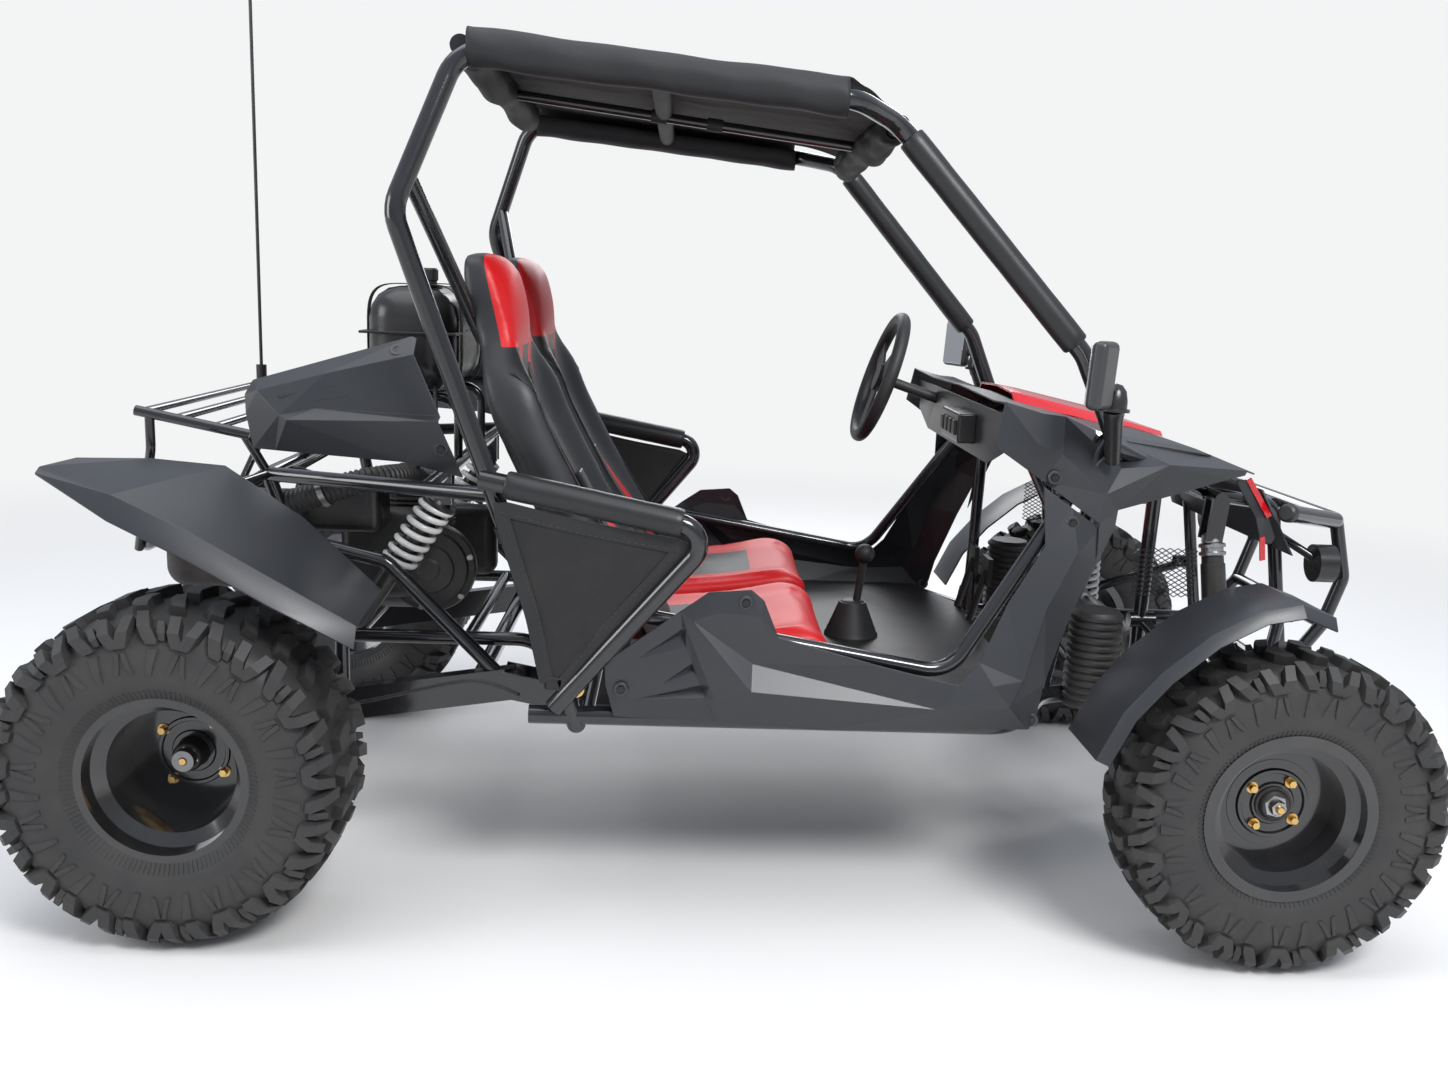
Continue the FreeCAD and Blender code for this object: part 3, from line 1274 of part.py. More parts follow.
def knobbly_tyre(kind, side):
    """A tyre with skewed shoulder lugs and chevrons on a plain carcass, closed at its bore."""
    crown = getattr(s, f"{kind}_tyre_dia") / 2
    half = getattr(s, f"{kind}_tyre_width") / 2
    bead = getattr(s, f"{kind}_rim_width") / 2 - s.rim_wall - s.tyre_clearance
    lip = s.bead_dia / 2 + s.rim_lip_height
    centre_y = s.rear_track_half if kind == "rear" else front_track
    axle = Vector(0 if kind == "rear" else s.wheelbase, side * centre_y, crown)
    steps = 2 * int(s.tread_pitches)
    step = 360 / steps
    spread = 1 / math.cos(math.radians(step / 2))

    def corner(radius, width, turn, index, hand):
        angle = math.radians(step * (index + turn) - step / 2)
        return axle + Vector(math.sin(angle) * radius, hand * width, -math.cos(angle) * radius)

    faces = []
    for hand in (1, -1):
        bore = (s.bead_dia / 2 + s.bead_clearance) * spread
        rings = [((bore, bead), None, 0.0), (((lip + s.lip_clearance) * spread, bead), None, 0.0)]
        for low, high, turn in tyre_rings:
            rings.append(((between(lip, crown, low[0]), low[1] * half),
                          high and (between(lip, crown, high[0]), high[1] * half), turn))
        low, high, turn = rings[-1]
        rings[-1] = (low, (high[0] * spread, high[1]), turn)
        table = [[[corner(*spot, turn, index, hand) if spot else None for index in range(steps + 1)]
                  for spot in (low, high)] for low, high, turn in rings]

        def raised(band, index):
            if band in shoulder_bands:
                return index % steps % 2
            return int(band == crown_band) * (1 - index % steps % 2)

        for band in range(len(rings) - 1):
            inner, outer = table[band], table[band + 1]
            for index in range(steps):
                up, after = raised(band, index), index + 1
                faces += patch([inner[up][index], inner[up][after], outer[up][after], outer[up][index]])
                if up != raised(band, after):
                    faces += patch([inner[0][after], inner[1][after], outer[1][after], outer[0][after]])
                if band and up != raised(band - 1, index):
                    faces += patch([inner[0][index], inner[0][after], inner[1][after], inner[1][index]])
    for index in range(steps):
        near, far = ([corner(bore, bead, 0.0, index + more, hand) for more in (0, 1)] for hand in (1, -1))
        faces += patch([near[0], near[1], far[1], far[0]])
    shell = Part.makeShell(faces)
    shell.sewShape()
    solid = Part.makeSolid(shell)
    if solid.Volume < 0:
        solid.reverse()
    return solid


def rim_outline(kind, side):
    """The wall of a wheel: lips, bead seats, the dropped well and the disc."""
    seat = "sizes.bead_dia / 2"
    lip = "sizes.bead_dia / 2 + sizes.rim_lip_height"
    well = "sizes.bead_dia / 2 - sizes.rim_well_depth"
    wall = "sizes.rim_wall"
    half = f"sizes.{kind}_rim_width / 2"
    disc = f"-sizes.{kind}_disc_inset"
    bore = "sizes.wheel_bore_dia / 2"
    seat_edge, well_edge = (f"{share} * {half}" for share in rim_well_shares)
    points = [
        (lip, half), (lip, f"{half} - {wall}"), (seat, f"{half} - {wall}"),
        (seat, seat_edge), (well, well_edge), (well, f"-{well_edge}"),
        (seat, f"-{seat_edge}"), (seat, f"-{half} + {wall}"), (lip, f"-{half} + {wall}"),
        (lip, f"-{half}"), (f"{seat} - {wall}", f"-{half}"),
        (f"{seat} - {wall}", f"-{seat_edge} - {wall}"), (f"{well} - {wall}", f"-{well_edge} - {wall}"),
        (f"{well} - {wall}", f"{disc} - {wall}"), (bore, f"{disc} - {wall}"), (bore, disc),
        (f"{well} - {wall}", disc), (f"{well} - {wall}", f"{well_edge} + {wall}"),
        (f"{seat} - {wall}", f"{seat_edge} + {wall}"), (f"{seat} - {wall}", half),
    ]
    centre = TRACKS[kind]
    return [(radius, f"{side} * ({centre} + ({offset}))") for radius, offset in points]


def turned_body(name, points, axle, height, twin):
    """A turned piece on an axle line, with its twin on the other side where asked."""
    body = new_body(name)
    body.setExpression("Placement.Base.x", f"sizes.rear_axle_x + {axle}")
    body.setExpression("Placement.Base.z", height)
    sketch = outline(body, "XY_Plane", f"{name}_section", points)
    turned = revolve(body, sketch, f"{name}_turned")
    if twin:
        other = body.newObject("PartDesign::Mirrored", f"{name}_twin")
        other.Originals = [turned]
        other.MirrorPlane = (sketch, ["H_Axis"])
        body.Tip = other
    return body


rear_height = "sizes.rear_tyre_dia / 2"
front_height = "sizes.front_tyre_dia / 2"
keep("rear_tyres", pair(knobbly_tyre("rear", 1)))
turned_body("rear_rims", rim_outline("rear", 1), "0", rear_height, True)
for name, side in SIDES.items():
    keep(f"front_tyre_{name}", knobbly_tyre("front", side))
    turned_body(f"front_rim_{name}", rim_outline("front", side), "sizes.wheelbase", front_height, False)

# Front hubs, turned on the stub axles, bolted to the discs of the rims.
hub_barrel_share = 0.36


def hub_outline(side):
    """A flanged hub with a clear bore round the stub axle."""
    face = "sizes.kingpin_half + sizes.wheel_offset - sizes.front_disc_inset - sizes.rim_wall"
    bore = "sizes.stub_axle_dia / 2 + sizes.running_clearance"
    nose = "sizes.wheel_bore_dia / 2 - sizes.bead_clearance"
    barrel = f"sizes.hub_dia * {hub_barrel_share}"
    points = [
        (bore, f"{face} - sizes.hub_width"), (barrel, f"{face} - sizes.hub_width"),
        (barrel, f"{face} - sizes.hub_flange"),
        ("sizes.hub_dia / 2", f"{face} - sizes.hub_flange"), ("sizes.hub_dia / 2", face),
        (nose, face), (nose, f"{face} + sizes.hub_nose"), (bore, f"{face} + sizes.hub_nose"),
    ]
    return [(radius, f"{side} * ({offset})") for radius, offset in points]


for name, side in SIDES.items():
    turned_body(f"front_hub_{name}", hub_outline(side), "sizes.wheelbase", front_height, False)

# Rear axle: one shaft with hub flanges, the chain sprocket and the brake disc.
axle_face = "sizes.rear_track_half - sizes.rear_disc_inset - sizes.rim_wall"
axle_outline = [
    ("0", "sizes.axle_half"), ("sizes.axle_dia / 2", "sizes.axle_half"),
    ("sizes.axle_dia / 2", f"{axle_face}"), ("sizes.hub_dia / 2", f"{axle_face}"),
    ("sizes.hub_dia / 2", f"{axle_face} - sizes.hub_flange"),
    ("sizes.axle_dia / 2", f"{axle_face} - sizes.hub_flange"),
    ("sizes.axle_dia / 2", "sizes.sprocket_y + sizes.sprocket_thick"),
    ("sizes.sprocket_dia / 2", "sizes.sprocket_y + sizes.sprocket_thick"),
    ("sizes.sprocket_dia / 2", "sizes.sprocket_y"),
    ("sizes.axle_dia / 2", "sizes.sprocket_y"),
    ("sizes.axle_dia / 2", "sizes.brake_disc_y + sizes.brake_disc_thick"),
    ("sizes.brake_disc_dia / 2", "sizes.brake_disc_y + sizes.brake_disc_thick"),
    ("sizes.brake_disc_dia / 2", "sizes.brake_disc_y"),
    ("sizes.axle_dia / 2", "sizes.brake_disc_y"),
    ("sizes.axle_dia / 2", f"-({axle_face}) + sizes.hub_flange"),
    ("sizes.hub_dia / 2", f"-({axle_face}) + sizes.hub_flange"),
    ("sizes.hub_dia / 2", f"-({axle_face})"), ("sizes.axle_dia / 2", f"-({axle_face})"),
    ("sizes.axle_dia / 2", "-sizes.axle_half"), ("0", "-sizes.axle_half"),
]
turned_body("rear_axle", axle_outline, "0", rear_height, False)

# Mirrors on stems from the cowl, lamps on the bumper, pedals and the shift lever.
mirror_face = place("glass_middle")
mirror_stem = place("glass_stem")
mirror_shell = block(
    mirror_face - Vector(s.mirror_depth / 2, s.mirror_width / 2, s.mirror_height / 2),
    mirror_face + Vector(s.mirror_depth / 2, s.mirror_width / 2, s.mirror_height / 2),
)
mirror_root = mirror_face - Vector(0, s.mirror_width / 4, s.mirror_height / 4)
mirror_stalk = tube([place("pillar_foot"), mirror_stem, mirror_root], s.rod_dia, s.tight_bend)
keep("mirrors", pair(without(fused([mirror_shell, mirror_stalk]), [cowl, roll_cage, lower_frame])))

keep("lamps", pair(without(lamp, [front_bumper])))

pedal_parts = []
for side in SIDES.values():
    foot = Vector(s.wheelbase - s.pedal_back, s.wheel_hub_y + side * s.pedal_gap / 2, floor_face)
    top = foot + Vector(s.pedal_lean, 0, s.pedal_height)
    pad_half = Vector(s.spoke_thick, s.pedal_width / 2, s.pedal_width / 2)
    run = (top - foot).normalize() * s.overrun
    pedal_parts.append(fused([bar(foot - run, top, s.rod_dia), block(top - pad_half, top + pad_half)]))
below_floor = block(Vector(0, -s.rail_bend_y, floor_face - 2 * s.overrun),
                    Vector(s.wheelbase, s.rail_bend_y, floor_face))
keep("pedals", Part.makeCompound([part.cut(below_floor) for part in pedal_parts]))

shift_foot = Vector(s.shift_x, 0, floor_face)
shift_top = shift_foot + Vector(s.shift_lean, 0, s.shift_height)
keep("shift_lever", without(fused([
    Part.makeCone(s.boot_dia / 2, s.boot_dia / 4, s.boot_height, shift_foot, Vector(0, 0, 1)),
    bar(shift_foot, shift_top, s.rod_dia),
    Part.makeSphere(s.knob_dia / 2, shift_top),
]), [below_floor]))

doc.recompute()
os.makedirs("parts", exist_ok=True)
for item in doc.Objects:
    if "Invalid" in item.State or "Error" in item.State:
        raise RuntimeError(f"{item.Label} did not build: {item.State}")
broken = [piece.Label for piece in PIECES if piece.Shape.isNull() or not piece.Shape.isValid()]
if broken:
    raise RuntimeError(f"no valid shape: {broken}")
for piece in PIECES:
    piece.Shape.exportStep(f"parts/{piece.Label}.step")
    print(piece.Label, len(piece.Shape.Solids), round(piece.Shape.Volume))
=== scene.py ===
import json
import math

import bmesh
import bpy
from mathutils import Matrix, Vector, geometry

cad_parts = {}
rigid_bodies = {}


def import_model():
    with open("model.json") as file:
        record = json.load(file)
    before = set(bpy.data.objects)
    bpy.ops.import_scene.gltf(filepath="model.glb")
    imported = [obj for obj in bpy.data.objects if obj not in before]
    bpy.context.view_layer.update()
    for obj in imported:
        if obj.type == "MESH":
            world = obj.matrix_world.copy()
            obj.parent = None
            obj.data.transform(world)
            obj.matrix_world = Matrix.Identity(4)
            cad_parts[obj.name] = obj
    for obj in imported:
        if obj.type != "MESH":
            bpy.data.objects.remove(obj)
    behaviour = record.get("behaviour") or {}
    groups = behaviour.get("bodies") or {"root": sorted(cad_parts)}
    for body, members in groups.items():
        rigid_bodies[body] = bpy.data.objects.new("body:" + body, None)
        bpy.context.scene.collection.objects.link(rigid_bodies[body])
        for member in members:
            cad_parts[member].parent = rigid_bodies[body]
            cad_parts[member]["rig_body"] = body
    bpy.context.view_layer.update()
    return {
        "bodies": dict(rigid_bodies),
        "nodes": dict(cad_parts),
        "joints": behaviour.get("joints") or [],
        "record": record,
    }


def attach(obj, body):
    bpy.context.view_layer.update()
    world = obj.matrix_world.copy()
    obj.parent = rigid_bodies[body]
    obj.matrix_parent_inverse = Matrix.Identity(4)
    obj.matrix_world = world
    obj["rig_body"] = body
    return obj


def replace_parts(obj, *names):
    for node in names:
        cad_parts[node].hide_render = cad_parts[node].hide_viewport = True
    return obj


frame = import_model()

# The welded frame: bent steel tube under a gloss black powder coat, with a faint ripple in
# the gloss and fine dust that settles on it. All the frame's own tubes keep their solids.
nodes = frame["nodes"]
SIDES = ((1, "left"), (-1, "right"))
AXLE_TO_MIDDLE = 896  # mm from the rear axle forward to the middle of the whole buggy


def at(x, y, z):
    """A place in metres, from millimetres ahead of the rear axle, out to the left and up."""
    return Vector(((x - AXLE_TO_MIDDLE) / 1000, y / 1000, z / 1000))


def wire(tree, *links):
    for (first, out), (last, into) in links:
        tree.links.new(first.outputs[out], last.inputs[into])


def surface_group():
    """Fine grain, cloudy tone and settled dust, for every finish on the buggy."""
    group = bpy.data.node_groups.new("surface_detail", "ShaderNodeTree")
    face = group.interface
    for name, kind, value in (
        ("Vector", "NodeSocketVector", None), ("Tone", "NodeSocketColor", (0.5, 0.5, 0.5, 1)),
        ("Second tone", "NodeSocketColor", (0.5, 0.5, 0.5, 1)), ("Cloud scale", "NodeSocketFloat", 9.0),
        ("Grain scale", "NodeSocketFloat", 900.0), ("Gloss low", "NodeSocketFloat", 0.3),
        ("Gloss high", "NodeSocketFloat", 0.4), ("Dust", "NodeSocketFloat", 0.1),
    ):
        socket = face.new_socket(name, in_out="INPUT", socket_type=kind)
        if value is not None:
            socket.default_value = value
    for name, kind in (("Colour", "NodeSocketColor"), ("Roughness", "NodeSocketFloat"),
                       ("Height", "NodeSocketFloat")):
        face.new_socket(name, in_out="OUTPUT", socket_type=kind)
    new = group.nodes.new
    inside, outside = new("NodeGroupInput"), new("NodeGroupOutput")
    cloud, grain, speck = new("ShaderNodeTexNoise"), new("ShaderNodeTexVoronoi"), new("ShaderNodeTexNoise")
    cloud.inputs["Detail"].default_value = 3
    speck.inputs["Scale"].default_value = 11
    speck.inputs["Detail"].default_value = 12
    speck.inputs["Roughness"].default_value = 0.7
    mix, dust, gloss = new("ShaderNodeMix"), new("ShaderNodeMix"), new("ShaderNodeMapRange")
    for node in (mix, dust):
        node.data_type = "RGBA"
    veil = new("ShaderNodeMapRange")
    veil.inputs["From Min"].default_value = 0.42
    veil.inputs["From Max"].default_value = 0.78
    amount = new("ShaderNodeMath")
    amount.operation = "MULTIPLY"
    dust.inputs[7].default_value = (0.2, 0.17, 0.14, 1)
    wire(group, ((inside, 0), (cloud, "Vector")), ((inside, 0), (grain, "Vector")),
         ((inside, 0), (speck, "Vector")), ((inside, 3), (cloud, "Scale")), ((inside, 4), (grain, "Scale")),
         ((cloud, 0), (mix, 0)), ((inside, 1), (mix, 6)), ((inside, 2), (mix, 7)), ((speck, 0), (veil, 0)),
         ((veil, 0), (amount, 0)), ((inside, 7), (amount, 1)), ((amount, 0), (dust, 0)), ((mix, 2), (dust, 6)),
         ((dust, 2), (outside, 0)), ((cloud, 0), (gloss, 0)), ((inside, 5), (gloss, 3)), ((inside, 6), (gloss, 4)),
         ((gloss, 0), (outside, 1)), ((grain, 0), (outside, 2)))
    return group


DETAIL = surface_group()


def finish(name, tone, second, gloss, grain=900, bump=0.02, dust=0.06, metal=0.0, coat=0.0, cloud=9, sheen=0.0,
           depth=0.0004, stretch=(1, 1, 1), shine=0.5):
    """A material from the shared surface detail, with its own tones, gloss and grain."""
    made = bpy.data.materials.new(name)
    made.use_nodes = True
    tree = made.node_tree
    shader = tree.nodes["Principled BSDF"]
    shader.inputs["Metallic"].default_value = metal
    shader.inputs["Coat Weight"].default_value = coat
    shader.inputs["Coat Roughness"].default_value = 0.08
    shader.inputs["Sheen Weight"].default_value = sheen
    shader.inputs["Specular IOR Level"].default_value = shine
    place, turn = tree.nodes.new("ShaderNodeTexCoord"), tree.nodes.new("ShaderNodeMapping")
    turn.inputs["Scale"].default_value = stretch
    detail, relief = tree.nodes.new("ShaderNodeGroup"), tree.nodes.new("ShaderNodeBump")
    detail.node_tree = DETAIL
    for socket, value in (("Tone", (*tone, 1)), ("Second tone", (*second, 1)), ("Cloud scale", cloud),
                          ("Grain scale", grain), ("Gloss low", gloss[0]), ("Gloss high", gloss[1]),
                          ("Dust", dust)):
        detail.inputs[socket].default_value = value
    relief.inputs["Strength"].default_value = bump
    relief.inputs["Distance"].default_value = depth
    wire(tree, ((place, "Object"), (turn, 0)), ((turn, 0), (detail, 0)), ((detail, 0), (shader, "Base Color")),
         ((detail, 1), (shader, "Roughness")), ((detail, 2), (relief, "Height")), ((relief, 0), (shader, "Normal")))
    return made


def coat_nodes(material, *names):
    """Gives CAD solids their finish."""
    for name in names:
        for slot in nodes[name].material_slots:
            slot.material = material


gloss_black = finish("gloss_black_tube", (0.01, 0.01, 0.012), (0.013, 0.013, 0.015), (0.14, 0.2), coat=0.5,
                     dust=0.02)
coat_nodes(gloss_black, "roll_cage", "lower_frame", "front_frame", "rear_frame", "front_bumper", "rear_rack")


def linked(name, data):
    """A new object in the scene."""
    made = bpy.data.objects.new(name, data)
    bpy.context.scene.collection.objects.link(made)
    return made


def outward_mesh(name, points, faces, weld=True):
    """A mesh from points and faces, all facing outwards."""
    mesh = bpy.data.meshes.new(name)
    mesh.from_pydata([tuple(point) for point in points], [], faces)
    shell = bmesh.new()
    shell.from_mesh(mesh)
    if weld:
        bmesh.ops.remove_doubles(shell, verts=shell.verts, dist=1e-6)
    bmesh.ops.recalc_face_normals(shell, faces=shell.faces)
    shell.to_mesh(mesh)
    shell.free()
    return mesh


def make(name, points, faces, body, material):
    """A smooth mesh piece at the origin that rides on a body."""
    mesh = outward_mesh(name, points, faces)
    mesh.shade_smooth()
    mesh.materials.append(material)
    piece = linked(name, mesh)
    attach(piece, body)
    return piece


def basis(axis):
    """Two directions square to an axis."""
    axis = axis.normalized()
    side = axis.orthogonal().normalized()
    return side, axis.cross(side)


def lathe(name, outline, centre, axis, body, material, steps=48, sharp=None):
    """A turned piece. The outline runs in (radius, distance along the axis) from end to end.

    Edges that turn further than sharp, in degrees, keep a hard shade."""
    axis = axis.normalized()
    side, up = basis(axis)
    points, faces = [], []
    for k in range(steps):
        turn = 2 * math.pi * k / steps
        out = side * math.cos(turn) + up * math.sin(turn)
        points += [centre + out * radius + axis * along for radius, along in outline]
    count = len(outline)
    for k in range(steps):
        here, there = k * count, (k + 1) % steps * count
        for j in range(count - 1):
            faces.append((here + j, there + j, there + j + 1, here + j + 1))
    piece = make(name, points, faces, body, material)
    return crease(piece, sharp) if sharp else piece


def select_only(*pieces):
    """Selects these pieces, with the first one active."""
    for other in bpy.context.selected_objects:
        other.select_set(False)
    for piece in pieces:
        piece.select_set(True)
    bpy.context.view_layer.objects.active = pieces[0]


def crease(piece, degrees):
    """Smooth shading that stops at sharp edges."""
    select_only(piece)
    bpy.ops.object.shade_smooth_by_angle(angle=math.radians(degrees))
    piece.select_set(False)
    return piece


# Caps on the open tube ends of the bumper: moulded plastic plugs with a rounded rim, pressed
# into the tube.
plug_black = finish("plug_plastic", (0.012, 0.012, 0.013), (0.02, 0.02, 0.021), (0.35, 0.5))
for side in (1, -1):
    end, inner = at(1865, side * 350, 706), at(2032, side * 200, 670)
    plug = ((0, 0.006), (0.012, 0.006), (0.0158, 0.003), (0.0166, 0.0004), (0.0166, -0.012), (0.016, -0.0125))
    lathe(f"bumper_plug_{side}", plug, end, end - inner, "chassis", plug_black, 32, sharp=30)


# Body panels: injection-moulded plastic with a satin bluish black grain. Each moulding keeps
# the solid's planes; its folds are eased by a few millimetres as they come out of the mould.
satin_black = finish("satin_body_plastic", (0.021, 0.023, 0.027), (0.025, 0.027, 0.031), (0.34, 0.4), 1500, 0.03,
                     0.025, cloud=4)


PANEL_WALL = 0.003


def eased(piece, width, angle=30, segments=3):
    """Rounds a piece's edges, by a width in metres, where they turn further than an angle."""
    rounding = piece.modifiers.new("eased_edges", "BEVEL")
    rounding.width = width
    rounding.segments = segments
    rounding.limit_method = "ANGLE"
    rounding.angle_limit = math.radians(angle)
    rounding.harden_normals = True


def thickened(piece, thick, offset=-1):
    """Gives a sheet its thickness, in metres."""
    wall = piece.modifiers.new("wall", "SOLIDIFY")
    wall.thickness = thick
    wall.offset = offset
    return wall


def moulded(node, ease, material=satin_black):
    """A moulding with eased edges that stands for its CAD node."""
    shell = bmesh.new()
    shell.from_mesh(nodes[node].data)
    bmesh.ops.remove_doubles(shell, verts=shell.verts, dist=2e-5)
    bmesh.ops.dissolve_limit(shell, angle_limit=math.radians(1.5), verts=shell.verts, edges=shell.edges)
    for face in shell.faces:
        face.material_index = 0
    mesh = bpy.data.meshes.new(f"{node}_moulding")
    shell.to_mesh(mesh)
    shell.free()
    mesh.materials.append(material)
    mesh.shade_smooth()
    piece = linked(mesh.name, mesh)
    eased(piece, ease / 1000, 18)
    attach(piece, nodes[node]["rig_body"])
    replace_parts(piece, node)


for node, ease in (("rear_fenders", 2), ("nose_panel", 4), ("front_fender_left", 1.6),
                   ("front_fender_right", 1.6), ("dash_panel", 1.2)):
    moulded(node, ease)


def facet_skin(name, spots, outline, lines, side, ease, replaced):
    """A folded moulding beside the frame. Each spot gives (ahead, height, out), and lines are its folds."""
    names = list(spots)
    flat = [Vector((spots[key][0], spots[key][1])) for key in names]
    edges = [(names.index(p), names.index(q)) for line in lines for p, q in zip(line, line[1:])]
    border = [names.index(key) for key in outline]
    _, _, loops, _, _, _ = geometry.delaunay_2d_cdt(flat, edges, [border], 1, 1e-6)
    points = [at(spots[key][0], side * spots[key][2], spots[key][1]) for key in names]
    mesh = bpy.data.meshes.new(name)
    mesh.from_pydata([tuple(point) for point in points], [], [tuple(loop) for loop in loops])
    shell = bmesh.new()
    shell.from_mesh(mesh)
    shell.normal_update()
    bmesh.ops.reverse_faces(shell, faces=[face for face in shell.faces if face.normal.y * side < 0])
    bmesh.ops.dissolve_limit(shell, angle_limit=math.radians(1), verts=shell.verts, edges=shell.edges)
    shell.to_mesh(mesh)
    shell.free()
    walled(name, mesh, ease, replaced)


def walled(name, mesh, ease, replaced):
    """Gives a folded skin its wall, its eased edges and its plastic."""
    mesh.materials.append(satin_black)
    mesh.shade_smooth()
    piece = linked(name, mesh)
    thickened(piece, PANEL_WALL)
    eased(piece, ease / 1000, 4)
    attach(piece, "chassis")
    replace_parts(piece, replaced)


# Front cowl: one folded moulding over both front wheels, bolted to the frame beside the pillar
# feet. Its flat facets fold down from the deck, and a band runs along each wheel arch.
COWL_SPOTS = {
    "back": (1340, 0, 889), "back_low": (1452, 0, 869), "crown": (1595, 0, 841), "fore": (1728, 0, 806),
    "lip": (1850, 0, 760), "deck_back": (1340, 291, 884), "deck_low": (1452, 291, 858),
    "deck_mid": (1595, 272, 824), "deck_fore": (1728, 254, 804), "deck_lip": (1850, 235, 760),
    "corner": (1325, 442, 893), "crease_rear": (1386, 458, 877), "crease_fore": (1421, 466, 874),
    "foot": (1532, 436, 787), "peak": (1620, 424, 794), "tip": (1779, 366, 781), "tip_low": (1776, 364, 772),
    "rear_low": (1311, 450, 819), "waist": (1378, 470, 826), "waist_low": (1387, 476, 768),
    "knuckle": (1417, 482, 813), "elbow": (1501, 468, 747), "hem": (1489, 480, 699), "arch_rear": (1528, 452, 718),
    "arch_rear_low": (1526, 450, 687), "arch_mid": (1612, 426, 737), "arch_fore": (1747, 372, 766),
    "leg_tip": (1476, 455, 566), "leg_rear": (1492, 474, 642), "ridge_rear": (1556, 340, 823),
    "ridge_fore": (1722, 300, 797),
}
COWL_FACES = (
    ("back", "deck_back", "deck_low", "back_low"), ("back_low", "deck_low", "deck_mid", "crown"),
    ("crown", "deck_mid", "deck_fore", "fore"), ("fore", "deck_fore", "deck_lip", "lip"),
    ("deck_back", "corner", "crease_rear", "crease_fore", "deck_low"), ("deck_low", "crease_fore", "ridge_rear"),
    ("crease_fore", "foot", "ridge_rear"), ("deck_low", "ridge_rear", "deck_mid"),
    ("ridge_rear", "ridge_fore", "deck_fore", "deck_mid"), ("ridge_rear", "foot", "peak"),
    ("ridge_rear", "peak", "ridge_fore"), ("ridge_fore", "peak", "tip"), ("deck_fore", "ridge_fore", "tip"),
    ("deck_fore", "tip", "deck_lip"), ("crease_fore", "knuckle", "elbow", "foot"), ("foot", "elbow", "peak"),
    ("elbow", "arch_rear", "arch_mid", "peak"), ("peak", "arch_mid", "arch_fore", "tip"),
    ("tip", "arch_fore", "tip_low"), ("elbow", "hem", "arch_rear_low", "arch_rear"),
    ("hem", "leg_rear", "leg_tip", "arch_rear_low"), ("knuckle", "waist_low", "hem", "elbow"),
    ("crease_rear", "waist", "waist_low", "knuckle", "crease_fore"),
    ("corner", "rear_low", "waist_low", "waist", "crease_rear"),
)
shell = bmesh.new()
for side in (1, -1):
    made = {key: shell.verts.new(at(x, side * y, z)) for key, (x, y, z) in COWL_SPOTS.items()}
    for loop in COWL_FACES:
        shell.faces.new([made[key] for key in loop])
bmesh.ops.remove_doubles(shell, verts=shell.verts, dist=1e-5)
bmesh.ops.recalc_face_normals(shell, faces=shell.faces)
if sum(face.normal.z * face.calc_area() for face in shell.faces) < 0:
    bmesh.ops.reverse_faces(shell, faces=shell.faces)
bmesh.ops.triangulate(shell, faces=[face for face in shell.faces if len(face.verts) > 3])
cowl_mesh = bpy.data.meshes.new("front_cowl_moulding")
shell.to_mesh(cowl_mesh)
shell.free()
walled("front_cowl_moulding", cowl_mesh, 1.8, "front_cowl")

# Side panels: one folded moulding below each door, with a long light-catching facet, three
# pressed slots towards the rear, and a leg that runs up beside the door tube to the cowl.
PANEL_SPOTS = {
    "rear_low": (690, 356, 521), "rear_mid": (676, 413, 533), "rear_top": (674, 452, 537),
    "shoulder": (797, 546, 545), "bump_rear": (841, 577, 540), "bump_front": (911, 583, 540),
    "bump_foot": (932, 566, 542), "ledge_rear": (957, 506, 547), "ledge_mid": (1125, 463, 548),
    "ledge_front": (1257, 433, 547), "leg_inner": (1292, 470, 538), "leg_inner_mid": (1338, 565, 511),
    "leg_inner_high": (1396, 662, 498), "leg_top_inner": (1392, 758, 477), "leg_top_outer": (1491, 691, 474),
    "leg_outer_high": (1495, 634, 469), "leg_outer_mid": (1457, 546, 479), "leg_outer_low": (1414, 425, 497),
    "corner": (1404, 374, 506), "front_low": (1388, 350, 519), "middle_low": (1040, 340, 520),
    "fold_low": (862, 350, 521), "facet_tip": (816, 531, 549), "facet_high": (917, 460, 546),
    "facet_low": (915, 420, 574), "facet_end": (1230, 392, 557), "bump_fold_rear": (858, 545, 549),
    "bump_fold_front": (925, 541, 549), "step_high": (806, 520, 548), "step_mid": (846, 424, 553),
    "step_low": (856, 398, 552), "dip_high": (799, 514, 541), "dip_low": (842, 398, 541),
    "slot_one_tip": (729, 462, 538), "slot_one_low": (806, 484, 540), "slot_one_deep": (798, 501, 529),
    "slot_two_tip": (768, 419, 539), "slot_two_high": (818, 457, 541), "slot_two_low": (825, 436, 540),
    "slot_two_deep": (817, 447, 529), "slot_three_tip": (722, 390, 534), "slot_three_high": (832, 420, 541),
    "slot_three_deep": (834, 409, 529), "toe": (1345, 398, 552), "shin": (1368, 440, 538),
    "knee": (1400, 556, 520), "thigh": (1450, 651, 504), "hip": (1440, 725, 484), "glint": (1316, 433, 550),
}
PANEL_OUTLINE = ("rear_low", "rear_mid", "rear_top", "shoulder", "bump_rear", "bump_front", "bump_foot",
                 "ledge_rear", "ledge_mid", "ledge_front", "leg_inner", "leg_inner_mid", "leg_inner_high",
                 "leg_top_inner", "hip", "leg_top_outer", "leg_outer_high", "leg_outer_mid", "leg_outer_low",
                 "corner", "front_low", "middle_low", "fold_low")
